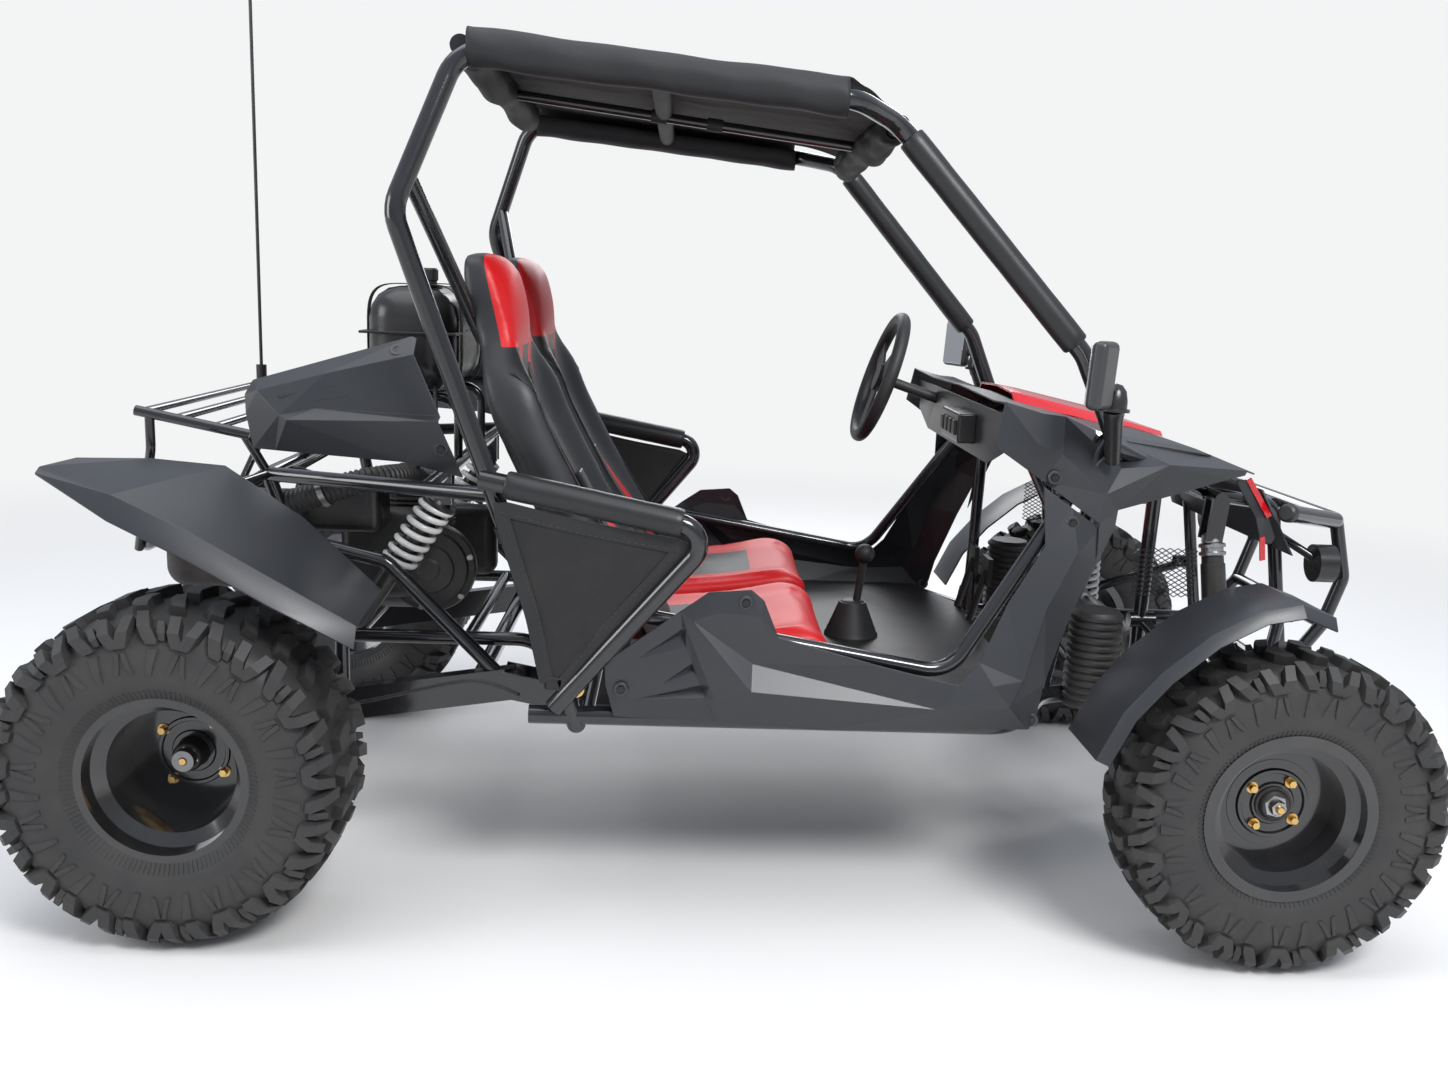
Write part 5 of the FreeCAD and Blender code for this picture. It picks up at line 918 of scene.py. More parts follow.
def side_net(side, word):
    """A sheet inside the frame that bellies a little, with its bound edge and straps."""
    rows, columns = 26, 26
    points, faces = [], []
    rear = ((578, 408), (540, 560), (500, 719))
    front = ((606, 404), (720, 545), (806, 661))

    def on(line, t):
        return [(1 - t) ** 2 * low + 2 * t * (1 - t) * bend + t * t * high for low, bend, high in zip(*line)]

    for i in range(rows + 1):
        (xa, za), (xb, zb) = on(rear, i / rows), on(front, i / rows)
        for j in range(columns + 1):
            across = j / columns
            x, z = xa + (xb - xa) * across, za + (zb - za) * across
            belly = 5 * math.sin(math.pi * across) * math.sin(math.pi * i / rows)
            belly += 0.8 * math.sin(9 * across + 5 * i / rows)
            points.append(at(x, side * (net_out(z) + belly), z))
    wide = columns + 1
    for i in range(rows):
        for j in range(columns):
            loop = (i * wide + j, i * wide + j + 1, (i + 1) * wide + j + 1, (i + 1) * wide + j)
            faces.append(loop if side < 0 else tuple(reversed(loop)))
    mesh_cloth = make(f"side_net_{word}", points, faces, "chassis", net_cloth)
    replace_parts(mesh_cloth, "side_nets")
    thickened(mesh_cloth, 0.0015, 0)
    border = [points[i * wide] for i in range(rows + 1)] + [points[rows * wide + j] for j in range(1, columns + 1)]
    border += [points[i * wide + columns] for i in range(rows - 1, -1, -1)]
    border += [points[j] for j in range(columns - 1, -1, -1)]
    middle = points[(rows // 2) * wide + columns // 2]
    inwards = [(middle - spot).normalized() for spot in border]
    hem_line = [spot + pull * 0.011 + OUT[side] * 0.0016 for spot, pull in zip(border, inwards)]
    strip(f"net_binding_{word}", hem_line + hem_line[:1], 0.024, inwards + inwards[:1], "chassis", webbing)
    seam = [(here + pull * 0.009 + OUT[side] * 0.001, after - here)
            for here, after, pull in zip(hem_line, hem_line[1:], inwards)]
    stitches(f"net_stitches_{word}", seam)
    for k, share in enumerate((0.2, 0.5, 0.8)):
        hoop_low, hoop_knee = at(627, side * 500, 334), at(340, side * 550, 1160)
        way = (hoop_knee - hoop_low).normalized()
        centre = hoop_low + way * ((0.43 + 0.29 * share - hoop_low.z) / way.z)
        strip(f"net_strap_{word}_{k}", round_tube(centre, way, 0.0178), 0.026, way, "chassis", webbing)
        snap = [(0, 0.0022), (0.004, 0.0018), (0.0055, 0.0002), (0.0055, -0.001), (0, -0.001)]
        lathe(f"net_snap_{word}_{k}", snap, centre + OUT[side] * 0.019, OUT[side], "chassis", snap_black, 20,
              sharp=40)


for side, word in SIDES:
    side_net(side, word)


# Seats: a moulded bucket under grained vinyl. The black sides stand proud of the back, a red
# headrest narrows to two stripes beside the harness slots, and red vinyl covers the seat pad.
def calc(tree, kind, first, second=None):
    """One step of shader arithmetic on sockets or numbers."""
    step = tree.nodes.new("ShaderNodeMath")
    step.operation = kind
    for index, value in enumerate((first, second)):
        if value is None:
            continue
        if isinstance(value, (int, float)):
            step.inputs[index].default_value = value
        else:
            tree.links.new(value, step.inputs[index])
    return step.outputs[0]


SEAT_OUT = 233  # mm from the buggy's middle out to a seat's middle


def seat_vinyl(name, zone):
    """Grained vinyl whose red and black panels meet in sewn seams; zone builds the red mask."""
    made = finish(name, (0.017, 0.018, 0.02), (0.021, 0.022, 0.024), (0.4, 0.5), 900, 0.12, 0.02, depth=0.0005)
    tree = made.node_tree
    shader = tree.nodes["Principled BSDF"]
    black = shader.inputs["Base Color"].links[0].from_socket
    red = tree.nodes.new("ShaderNodeMix")
    red.data_type = "RGBA"
    red.inputs[7].default_value = (0.56, 0.007, 0.01, 1)
    tree.links.new(black, red.inputs[6])
    tree.links.new(zone(tree), red.inputs[0])
    tree.links.new(red.outputs[2], shader.inputs["Base Color"])
    return made


def seat_place(tree):
    """Distance from the seat's own middle, distance ahead and height, in metres."""
    place, split = tree.nodes.new("ShaderNodeTexCoord"), tree.nodes.new("ShaderNodeSeparateXYZ")
    tree.links.new(place.outputs["Object"], split.inputs[0])
    away = calc(tree, "ABSOLUTE", calc(tree, "SUBTRACT", calc(tree, "ABSOLUTE", split.outputs[1]), SEAT_OUT / 1000))
    return away, split.outputs[0], split.outputs[2]


def back_zone(tree):
    """Red on the head's face, then two stripes that run down inside the side rolls."""
    away, ahead, high = seat_place(tree)
    front_of_wing = calc(tree, "GREATER_THAN", calc(tree, "ADD", calc(tree, "MULTIPLY", high, 0.245), ahead),
                         -0.1815)
    head = calc(tree, "MULTIPLY", calc(tree, "GREATER_THAN", high, 0.95), front_of_wing)
    line = calc(tree, "ADD", calc(tree, "MULTIPLY", calc(tree, "SUBTRACT", 0.95, high), 0.11), 0.07)
    inner = calc(tree, "GREATER_THAN", away, calc(tree, "SUBTRACT", line, 0.03))
    outer = calc(tree, "LESS_THAN", away, calc(tree, "ADD", line, 0.012))
    below = calc(tree, "LESS_THAN", high, 0.955)
    facing = calc(tree, "GREATER_THAN", calc(tree, "ADD", calc(tree, "MULTIPLY", high, 0.52), ahead), 0.055)
    stripe = calc(tree, "MULTIPLY", calc(tree, "MULTIPLY", inner, outer), calc(tree, "MULTIPLY", below, facing))
    return calc(tree, "MAXIMUM", head, stripe)


def pad_zone(tree):
    """A red top and front lip, with black sides and a black middle towards the back."""
    away, ahead, high = seat_place(tree)
    lip = calc(tree, "GREATER_THAN", ahead, 0.128)
    top = calc(tree, "GREATER_THAN", calc(tree, "SUBTRACT", high, calc(tree, "MULTIPLY", ahead, 0.1)), 0.437)
    middle = calc(tree, "MULTIPLY", calc(tree, "LESS_THAN", away, 0.105), calc(tree, "LESS_THAN", ahead, 0.05))
    return calc(tree, "MAXIMUM", lip, calc(tree, "MULTIPLY", top, calc(tree, "SUBTRACT", 1, middle)))


back_vinyl = seat_vinyl("seat_back_vinyl", back_zone)
pad_vinyl = seat_vinyl("seat_pad_vinyl", pad_zone)

# Each row of the back: its front, rear and height, half its width, its side roll and its crown.
BACK_ROWS = ((742, 690, 440, 188, 12, 0), (722, 662, 490, 194, 22, 0), (690, 622, 556, 198, 34, 0),
             (640, 580, 620, 201, 42, 0), (600, 548, 676, 203, 46, 0), (552, 505, 764, 205, 46, 0),
             (520, 474, 830, 205, 44, 0), (508, 458, 880, 200, 38, 0), (500, 450, 918, 180, 22, 4),
             (502, 444, 948, 140, 6, 8), (506, 436, 975, 126, 2, 16), (504, 424, 1012, 124, 0, 24),
             (496, 414, 1050, 121, 0, 28), (484, 410, 1086, 112, 0, 28), (466, 410, 1112, 92, 0, 26))
ACROSS = ((-1, 0.05), (-0.985, 0.6), (-0.92, 1.0), (-0.8, 0.86), (-0.66, 0.25), (-0.5, 0.03), (-0.25, 0.0),
          (0, 0.0), (0.25, 0.0), (0.5, 0.03), (0.66, 0.25), (0.8, 0.86), (0.92, 1.0), (0.985, 0.6), (1, 0.05))


def row_front(row, out):
    """Where the front of a row stands at a share of its half width."""
    front, _, _, _, roll, crown = row
    rise = next(low[1] + (high[1] - low[1]) * (out - low[0]) / (high[0] - low[0])
                for low, high in zip(ACROSS, ACROSS[1:]) if low[0] <= out <= high[0])
    return front + roll * rise - crown * abs(out) ** 2.6


def on_back(side, away, z, lift=0.0):
    """A place on the front of a seat's back, a distance from its middle and at a height."""
    for low, high in zip(BACK_ROWS, BACK_ROWS[1:]):
        if low[2] <= z <= high[2]:
            part = (z - low[2]) / (high[2] - low[2])
            fronts = [row_front(row, max(-1, min(1, away / row[3]))) for row in (low, high)]
            return at(fronts[0] + (fronts[1] - fronts[0]) * part + lift, side * SEAT_OUT + away, z)
    raise ValueError("off the seat's back")


def ringed(rows):
    """Rings of points as one closed form."""
    return [point for row in rows for point in row], tube_faces(len(rows), len(rows[0]))


def seat_back(side):
    """The back as closed rings of points, from the seat pad to the head."""
    rows = []
    for row in BACK_ROWS:
        _, rear, high, half, _, _ = row
        ring = [(row_front(row, u), u * half) for u, _ in ACROSS]
        ring += [(rear + 4 * abs(u) ** 3, u * half * 0.98) for u, _ in reversed(ACROSS[1:-1])]
        rows.append([at(x, side * SEAT_OUT + y, high) for x, y in ring])
    return ringed(rows)


# Each row of the pad: its distance ahead, its top and half its width.
PAD_ROWS = ((700, 440, 188), (740, 450, 194), (830, 458, 199), (920, 468, 202), (985, 482, 203), (1025, 486, 202),
            (1052, 474, 196), (1066, 448, 186))


def seat_pad(side):
    """The seat pad as closed rings from the back to the front lip, hollowed across its middle."""
    rows = []
    for x, top, half in PAD_ROWS:
        low = 374 + max(0, x - 990) * 0.7
        ring = [(u * half, top - 12 + 14 * rise + 6 * (1 - u * u)) for u, rise in ACROSS]
        ring += [(u * half * 0.95, low) for u, _ in reversed(ACROSS[1:-1])]
        rows.append([at(x, side * SEAT_OUT + y, z) for y, z in ring])
    return ringed(rows)


CLOTH_MESH, CLOTH_FRAMES, MOST_SWELL = 0.006, 16, 0.005


def stuffed(piece):
    """Swells a closed form under cloth pressure, with no point moved too far."""
    select_only(piece)
    remesh = piece.modifiers.new("even_mesh", "REMESH")
    remesh.mode = "VOXEL"
    remesh.voxel_size = CLOTH_MESH
    bpy.ops.object.modifier_apply(modifier=remesh.name)
    before = [point.co.copy() for point in piece.data.vertices]
    cloth = piece.modifiers.new("stuffing", "CLOTH")
    cloth.settings.use_pressure = True
    cloth.settings.uniform_pressure_force = 4
    cloth.settings.effector_weights.gravity = 0
    cloth.settings.quality = 4
    for number in range(1, CLOTH_FRAMES + 1):
        bpy.context.scene.frame_set(number)
    after = evaluated_mesh(piece)
    piece.modifiers.remove(cloth)
    for point, start, end in zip(piece.data.vertices, before, after.vertices):
        step = end.co - start
        point.co = start + step * min(1, MOST_SWELL / max(step.length, 1e-9))
    bpy.context.scene.frame_set(1)


def seat_cushion(name, form, side, material):
    """A stuffed cushion from its rings, its faces smooth."""
    points, faces = form(side)
    piece = make(name, points, faces, "chassis", material)
    soft = piece.modifiers.new("soft_form", "SUBSURF")
    soft.levels = soft.render_levels = 2
    mesh = evaluated_mesh(piece)
    piece.modifiers.clear()
    piece.data = mesh
    stuffed(piece)
    piece.data.shade_smooth()
    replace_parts(piece, "seats")


def piping(name, line, radius, material, closed=False):
    """A thin sewn roll along a line of places."""
    count = 8
    points, faces = [], []
    for k, spot in enumerate(line):
        before = line[k - 1] if k or closed else line[0]
        after = line[(k + 1) % len(line)] if closed else line[min(k + 1, len(line) - 1)]
        side, up = basis(after - before)
        points += [spot + (side * math.cos(2 * math.pi * j / count)
                           + up * math.sin(2 * math.pi * j / count)) * radius
                   for j in range(count)]
    for k in range(len(line) if closed else len(line) - 1):
        there = (k + 1) % len(line)
        turn = min(range(count), key=lambda shift: (points[there * count + shift] - points[k * count]).length)
        for j in range(count):
            faces.append((k * count + j, k * count + (j + 1) % count, there * count + (j + 1 + turn) % count,
                          there * count + (j + turn) % count))
    if not closed:
        faces += [tuple(range(count - 1, -1, -1)), tuple(range(len(points) - count, len(points)))]
    return make(name, points, faces, "chassis", material)


BOX_FACES = [(0, 3, 2, 1), (4, 5, 6, 7), (0, 1, 5, 4), (1, 2, 6, 5), (2, 3, 7, 6), (3, 0, 4, 7)]


def casting_at(name, centre, way, size, round_edge, material, across=Vector((0, 1, 0))):
    """A small moulded block with rounded edges, its length along a way."""
    way = way.normalized()
    across = (across - way * way.dot(across)).normalized()
    out = across.cross(way)
    wide, long, thick = size
    points = [centre + across * (wide / 2 * a) + way * (long / 2 * b) + out * (thick / 2 * c)
              for c in (-1, 1) for a, b in ((-1, -1), (1, -1), (1, 1), (-1, 1))]
    piece = make(name, points, BOX_FACES, "chassis", material)
    eased(piece, round_edge)
    return piece


BELT_WIDTH = 0.045
seam_vinyl = finish("seam_vinyl", (0.014, 0.014, 0.016), (0.02, 0.02, 0.022), (0.35, 0.45), 900, 0.1, 0.02)
slot_red = finish("slot_frame_red", (0.56, 0.007, 0.01), (0.5, 0.006, 0.009), (0.3, 0.4), 900, 0.05, 0.02)
for side, word in SIDES:
    seat_cushion(f"seat_back_{word}", seat_back, side, back_vinyl)
    seat_cushion(f"seat_pad_{word}", seat_pad, side, pad_vinyl)
    for hand in (1, -1):
        place = f"{word}_{'outer' if hand == side else 'inner'}"
        heights = [500 + 8 * k for k in range(54)]
        ridge = [on_back(side, hand * 0.9 * next(low[3] for low in reversed(BACK_ROWS) if low[2] <= z), z,
                         1.0) for z in heights]
        piping(f"seat_roll_seam_{place}", ridge[::2], 0.0016, seam_vinyl)
        frame = []
        for k in range(28):
            a = 2 * math.pi * k / 28
            frame.append(on_back(side, hand * (52 + 17 * math.cos(a) * (1 - 0.3 * math.sin(a))),
                                 926 + 27 * math.sin(a), 1.5))
        piping(f"harness_slot_{place}", frame, 0.0042, slot_red, True)
        # A dark sheet inside each red frame: painted shade where the harness slot opens into the back.
        middle = sum(frame, Vector()) / len(frame)
        fan = [middle - Vector((0.002, 0, 0))] + frame
        slot_shade_sheet = make(f"harness_slot_painted_shade_{place}", fan, [(0, 1 + k, 1 + (k + 1) % 28) for k in range(28)], "chassis",
                    seam_vinyl)
        thickened(slot_shade_sheet, 0.002)
    for k, away in ((0, -52), (1, 52)):
        line = [on_back(side, away * (1 - 0.3 * t), 925 - 385 * t, 3.5 + 14 * math.sin(math.pi * t))
                for t in (n / 24 for n in range(25))]
        strip(f"harness_{word}_{k}", line, BELT_WIDTH, Vector((0, 1, 0)), "chassis", webbing, 0.002)
    lap = [at(x, side * SEAT_OUT + y, z) for x, y, z in ((742, -190, 470), (752, -150, 478), (764, -80, 474),
                                                         (770, 0, 472), (764, 80, 474), (752, 150, 478),
                                                         (742, 190, 470))]
    strip(f"lap_belt_{word}", lap, BELT_WIDTH, Vector((-0.5, 0, 0.86)), "chassis", webbing, 0.002)
    buckle = on_back(side, -side * 44, 690, 24)
    tilt = (on_back(side, -side * 44, 730, 24) - buckle).normalized()
    casting_at(f"buckle_{word}", buckle, tilt, (0.052, 0.066, 0.012), 0.004, plug_black)

# Springs: the rear pair are white coils on black dampers with a threaded collar; the front pair
# have a bright cap, two rings and a black sleeve above their own white coils.
spring_white = finish("spring_white", (0.74, 0.74, 0.73), (0.62, 0.61, 0.59), (0.22, 0.34), coat=0.3, dust=0.12)
damper_black = finish("damper_black", (0.012, 0.012, 0.013), (0.022, 0.022, 0.023), (0.3, 0.42), dust=0.15)


def coil(name, low, high, radius, wire_radius, turns):
    """A helix of white round wire between two places, its end turns closed up."""
    axis = high - low
    side, up = basis(axis)
    count = turns * 28
    points = []
    for k in range(count + 1):
        share = k / count
        ease = share - 0.3 / turns * math.sin(2 * math.pi * share) / math.pi
        a = 2 * math.pi * turns * share
        out = side * math.cos(a) + up * math.sin(a)
        centre = low + axis * ease + out * (radius - wire_radius)
        for j in range(10):
            b = 2 * math.pi * j / 10
            points.append(centre + (out * math.cos(b) + axis.normalized() * math.sin(b)) * wire_radius)
    return make(name, points, tube_faces(count + 1, 10), "chassis", spring_white)


def strut(name, top, low, node, spring, parts):
    """A damper of turned pieces with its coil; parts are (name, material, outline in share and radius)."""
    axis = top - low
    long = axis.length
    for label, material, outline in parts:
        ring = [(r / 1000, share * long) for share, r in outline]
        ring = [(0, ring[0][1])] + ring + [(0, ring[-1][1])]
        piece = lathe(f"{name}_{label}", ring, low, axis, "chassis", material, 32, sharp=35)
        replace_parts(piece, node)
    first, last, radius, thick, turns = spring
    piece = coil(f"{name}_coil", low + axis * first, low + axis * last, radius / 1000, thick / 1000, turns)
    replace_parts(piece, node)


for side, word in SIDES:
    strut(f"rear_shock_{word}", at(372, side * 290, 682), at(200, side * 290, 425), "rear_shocks",
          (0.5, 0.93, 33, 5.6, 7), (
              ("rod", zinc, ((0.02, 8), (0.3, 8))),
              ("body", damper_black, ((0.06, 12), (0.09, 18), (0.46, 18), (0.465, 31), (0.485, 33), (0.5, 33),
                                      (0.505, 19), (0.93, 17))),
              ("cap", damper_black, ((0.92, 18), (0.925, 31), (0.945, 33), (0.95, 24), (0.99, 14), (1.0, 12))),
          ))
    strut(f"front_shock_{word}", at(1735, side * 345, 668), at(1768, side * 415, 262), "front_shocks",
          (0.12, 0.5, 29, 4.8, 9), (
              ("foot", damper_black, ((0.0, 11), (0.06, 13), (0.08, 27), (0.1, 29), (0.115, 29), (0.12, 14),
                                      (0.5, 14))),
              ("sleeve", damper_black, ((0.5, 27), (0.51, 29), (0.54, 29), (0.545, 22), (0.86, 21), (0.865, 19),
                                        (0.9, 19))),
              ("rings", zinc, ((0.895, 20), (0.9, 23), (0.912, 23), (0.915, 19), (0.93, 19), (0.933, 23),
                               (0.945, 23), (0.95, 20))),
              ("cap", zinc, ((0.95, 15), (0.955, 18), (0.985, 17), (0.995, 12))),
          ))

coat_nodes(gloss_black, "swing_arm", "suspension_arms", "column_bracket")

# Engine: a cast aluminium crankcase with a finned cylinder, a belt cover and a fan shroud,
# bolted to the rear cross tubes. It fills the space of the plain block.
cast_metal = finish("cast_aluminium", (0.2, 0.2, 0.205), (0.13, 0.13, 0.135), (0.4, 0.58), 600, 0.3, 0.3, metal=0.8)
cover_black = finish("engine_cover_black", (0.012, 0.012, 0.013), (0.025, 0.025, 0.026), (0.35, 0.5), dust=0.2)
coat_nodes(cast_metal, "steering_box")


def casting(name, low, high, round_edge, material):
    """A cast or moulded box with well rounded edges, between two corners in mm."""
    (x1, y1, z1), (x2, y2, z2) = low, high
    corners = [at(x, y, z) for z in (z1, z2) for x, y in ((x1, y1), (x2, y1), (x2, y2), (x1, y2))]
    piece = make(name, corners, BOX_FACES, "chassis", material)
    eased(piece, round_edge / 1000, segments=4)
    return piece


engine = [casting("crankcase", (120, -110, 425), (300, 120, 560), 18, cast_metal),
          casting("belt_cover", (90, 122, 440), (405, 188, 590), 26, cover_black),
          casting("fan_shroud", (150, -158, 455), (330, -112, 630), 22, cover_black),
          casting("cylinder_head", (215, -60, 640), (330, 70, 688), 10, cast_metal),
          casting("gear_case", (75, -90, 430), (165, 60, 540), 20, cast_metal)]
for piece in engine:
    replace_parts(piece, "engine_block")


def fin_tree():
    """Square cooling fins stacked along the cylinder."""
    tree, start, end = node_tree("cooling_fins", (("Count", "Int"), ("Pitch", "Vector"), ("Size", "Vector")))
    new = tree.nodes.new
    line, fin = new("GeometryNodeMeshLine"), new("GeometryNodeMeshCube")
    spread = new("GeometryNodeInstanceOnPoints")
    shift, spot = new("GeometryNodeSetPosition"), new("GeometryNodeInputPosition")
    first = new("GeometryNodeSampleIndex")
    first.data_type = "FLOAT_VECTOR"
    wire(tree, ((start, "Count"), (line, "Count")), ((start, "Pitch"), (line, "Offset")),
         ((start, "Size"), (fin, "Size")), ((start, 0), (first, "Geometry")), ((spot, 0), (first, "Value")),
         ((line, 0), (shift, 0)), ((first, 0), (shift, "Offset")), ((shift, 0), (spread, "Points")),
         ((fin, 0), (spread, "Instance")))
    close_tree(tree, start, end, spread)
    return tree


FINS = fin_tree()


low_fin = bpy.data.meshes.new("cylinder_fins_seed")
low_fin.from_pydata([tuple(at(272, 5, 566))], [], [])
fins = {"Count": 9, "Pitch": (0, 0, 0.0085), "Size": (0.118, 0.138, 0.0032)}
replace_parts(grown("cylinder_fins", low_fin, FINS, fins, "chassis", cast_metal), "engine_block")
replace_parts(casting("cylinder", (228, -45, 556), (316, 55, 645), 8, cast_metal), "engine_block")

# Fuel tank, air box and muffler: blow-moulded black plastic with a ribbed cap, a moulded intake
# box fed by a ribbed hose, and a heat-painted can at the rear loop.
tank_black = finish("tank_plastic", (0.012, 0.012, 0.013), (0.02, 0.02, 0.021), (0.22, 0.34), 500, 0.04, 0.08)
tank = [casting("fuel_tank_shell", (207, -188, 852), (371, 188, 1043), 58, tank_black),
        casting("fuel_tank_flange", (201, -193, 957), (376, 193, 962), 1.5, tank_black)]
for piece in tank:
    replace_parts(piece, "fuel_tank")
for k, y in enumerate((-120, 120)):
    band = [at(289 + 86 * math.copysign(abs(math.cos(a)) ** 0.45, math.cos(a)), y,
               948 + 99 * math.copysign(abs(math.sin(a)) ** 0.45, math.sin(a)))
            for a in (math.radians(6 * n - 90) for n in range(61))]
    strip(f"tank_strap_{k}", band, 0.02, Vector((0, 1, 0)), "chassis", webbing, 0.002)
moulded("air_box", 3, tank_black)
heat_paint = finish("muffler_heat_paint", (0.014, 0.013, 0.013), (0.035, 0.028, 0.022), (0.5, 0.7), 400, 0.2, 0.3)
coat_nodes(heat_paint, "muffler")
cap = [(0, 0.034), (0.013, 0.034), (0.0165, 0.031), (0.0165, 0.012), (0.014, 0.010), (0.014, 0.004),
       (0.024, 0.002), (0.024, -0.004), (0, -0.004)]
lathe("tank_cap", cap, at(310, -90, 1043), Vector((0, 0, 1)), "chassis", plug_black, 40, sharp=35)


def ribbed(name, route, radius, pitch):
    """A ribbed rubber hose along a smooth line that a route of places draws."""
    curve = bpy.data.curves.new(f"{name}_line", "CURVE")
    curve.dimensions = "3D"
    spline = curve.splines.new("NURBS")
    spline.points.add(len(route) - 1)
    for point, spot in zip(spline.points, route):
        point.co = (*at(*spot), 1)
    spline.order_u, spline.use_endpoint_u, spline.resolution_u = 3, True, 24
    holder = linked(f"{name}_line", curve)
    bpy.context.view_layer.update()
    line = [point.co.copy() for point in evaluated_mesh(holder).vertices]
    bpy.data.objects.remove(holder)
    gone = [0]
    for a, b in zip(line, line[1:]):
        gone.append(gone[-1] + (b - a).length)
    count = int(gone[-1] / (pitch / 4))
    points, index = [], 0
    up = basis(line[1] - line[0])[1]
    for k in range(count + 1):
        reach = gone[-1] * k / count
        while index < len(line) - 2 and gone[index + 1] < reach:
            index += 1
        ahead = (line[index + 1] - line[index]).normalized()
        part = (reach - gone[index]) / max(gone[index + 1] - gone[index], 1e-9)
        spot = line[index].lerp(line[index + 1], min(1, part))
        up = (up - ahead * up.dot(ahead)).normalized()
        out = ahead.cross(up)
        swell = radius * (1, 0.94, 0.84, 0.94)[k % 4]
        points += [spot + (up * math.cos(a) + out * math.sin(a)) * swell
                   for a in (2 * math.pi * j / 20 for j in range(20))]
    make(name, points, tube_faces(count + 1, 20), "chassis", hose_black)


hose_black = finish("hose_rubber", (0.013, 0.013, 0.014), (0.022, 0.022, 0.023), (0.4, 0.55), dust=0.15)
ribbed("intake_hose", ((40, -285, 640), (95, -300, 658), (165, -312, 684), (225, -310, 704), (275, -270, 708),
                       (300, -190, 700), (300, -120, 670)), 0.0235, 0.009)
clip = [(0.0225, -0.005), (0.0255, -0.005), (0.0255, 0.005), (0.0225, 0.005), (0.0225, -0.005)]
lathe("hose_clip", clip, at(165, -311, 682), Vector((0.056, 0, 0.026)), "chassis", zinc, 32, sharp=30)
CLUTCH, BOLT_CIRCLE = (318, 515), 78
clutch = [(0, 0.022), (0.018, 0.022), (0.022, 0.019), (0.045, 0.017), (0.048, 0.012), (0.07, 0.01), (0.074, 0.005),
          (0.084, 0.003), (0.086, -0.004), (0.086, -0.02), (0, -0.02)]
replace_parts(lathe("clutch_cover", clutch, at(CLUTCH[0], -140, CLUTCH[1]), OUT[-1], "chassis", cover_black, 64,
                  sharp=30), "engine_block")
round_cover = [(at(CLUTCH[0] + BOLT_CIRCLE * math.cos(a), -143, CLUTCH[1] + BOLT_CIRCLE * math.sin(a)), OUT[-1])
               for a in (0.3, 1.35, 2.4, 3.44, 4.49, 5.54)]
fasteners("cover_bolts", round_cover, "chassis", zinc, 0.005, 0.004, 0.0065)
for name, radius, route in (
        ("fuel_line", 0.0045, ((330, -150, 870), (345, -210, 800), (330, -225, 740), (290, -190, 700),
                               (270, -120, 660))),
        ("brake_line", 0.0035, ((528, -470, 372), (470, -455, 395), (400, -440, 380), (300, -430, 350),
                                (180, -420, 320))),
        ("breather", 0.006, ((120, -180, 690), (90, -230, 720), (50, -235, 690), (40, -180, 620), (70, -120, 560))),
):
    ribbed(name, route, radius, 0.02)

# Controls: a steering wheel and a floor lever with rubber grips. The lever stands in a ribbed
# rubber boot that is clamped to the floor pan.
grip_rubber = finish("grip_rubber", (0.014, 0.014, 0.015), (0.024, 0.024, 0.025), (0.45, 0.6), 1100, 0.15, 0.05)
coat_nodes(grip_rubber, "steering_wheel", "shift_lever")
boot = [(0, 0.0735)] + [((55 - 31 * k / 13 - (3.2 if k % 2 else 0)) / 1000, 0.004 + 0.069 * k / 13)
                        for k in range(13, -1, -1)] + [(0.055, 0.0), (0, 0)]
lathe("lever_boot", boot, at(1150, 0, 370), Vector((0, 0, 1)), "chassis", hose_black, 40, sharp=60)

# Mirrors and lamps: moulded black shells. Each mirror's arm bends up from a domed boot on a post
# at the cowl's corner, and each lamp stands on a bracket of the bumper behind a clear lens.
coat_nodes(tank_black, "whip_mast", "lamps")
glass_silver = finish("mirror_glass", (0.75, 0.77, 0.8), (0.7, 0.72, 0.75), (0.02, 0.05), metal=1.0, dust=0.03)
shell_plastic = finish("mirror_shell", (0.03, 0.031, 0.033), (0.036, 0.037, 0.039), (0.34, 0.42), 1200, 0.05, 0.02)
MIRROR_TURN, lean = 36, Vector((0.05, 0, 1))
for side, word in SIDES:
    a = math.radians(MIRROR_TURN)
    facing = Vector((-math.cos(a), -side * math.sin(a), 0))
    wide = Vector((side * math.sin(a), -math.cos(a), 0))
    centre = at(1446, side * 560, 948)
    head = casting_at(f"mirror_shell_{word}", centre, lean, (0.07, 0.108, 0.026), 0.0105, shell_plastic,
                      across=wide)
    glass = casting_at(f"mirror_glass_{word}", centre + facing * 0.0125, lean, (0.058, 0.095, 0.003), 0.001,
                       glass_silver, across=wide)
    foot, root = at(1484, side * 512, 893), at(1506, side * 464, 802)
    post = [(0, 0.0), (0.0175, 0.0), (0.0175, 0.012), (0.016, 0.016), (0.0125, (root - foot).length),
            (0, (root - foot).length)]
    dome = [(0, 0.041), (0.009, 0.039), (0.0165, 0.03), (0.0205, 0.014), (0.021, 0.002), (0.026, 0.001),
            (0.026, -0.004), (0, -0.004)]
    arm = [foot + Vector((0, 0, 0.028)), (foot + centre) / 2 + Vector((0.004, 0, 0.008)),
           centre + Vector((0.006, 0, -0.012))]
    parts = [head, glass,
             lathe(f"mirror_post_{word}", post, foot, root - foot, "chassis", tank_black, 32,
                   sharp=30),
             lathe(f"mirror_dome_{word}", dome, foot, lean, "chassis", tank_black, 40, sharp=40),
             piping(f"mirror_arm_{word}", arm, 0.0075, tank_black)]
    for part in parts:
        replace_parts(part, "mirrors")
lens_clear = finish("lamp_lens", (0.1, 0.1, 0.105), (0.07, 0.07, 0.075), (0.03, 0.08), coat=1.0, dust=0.03)
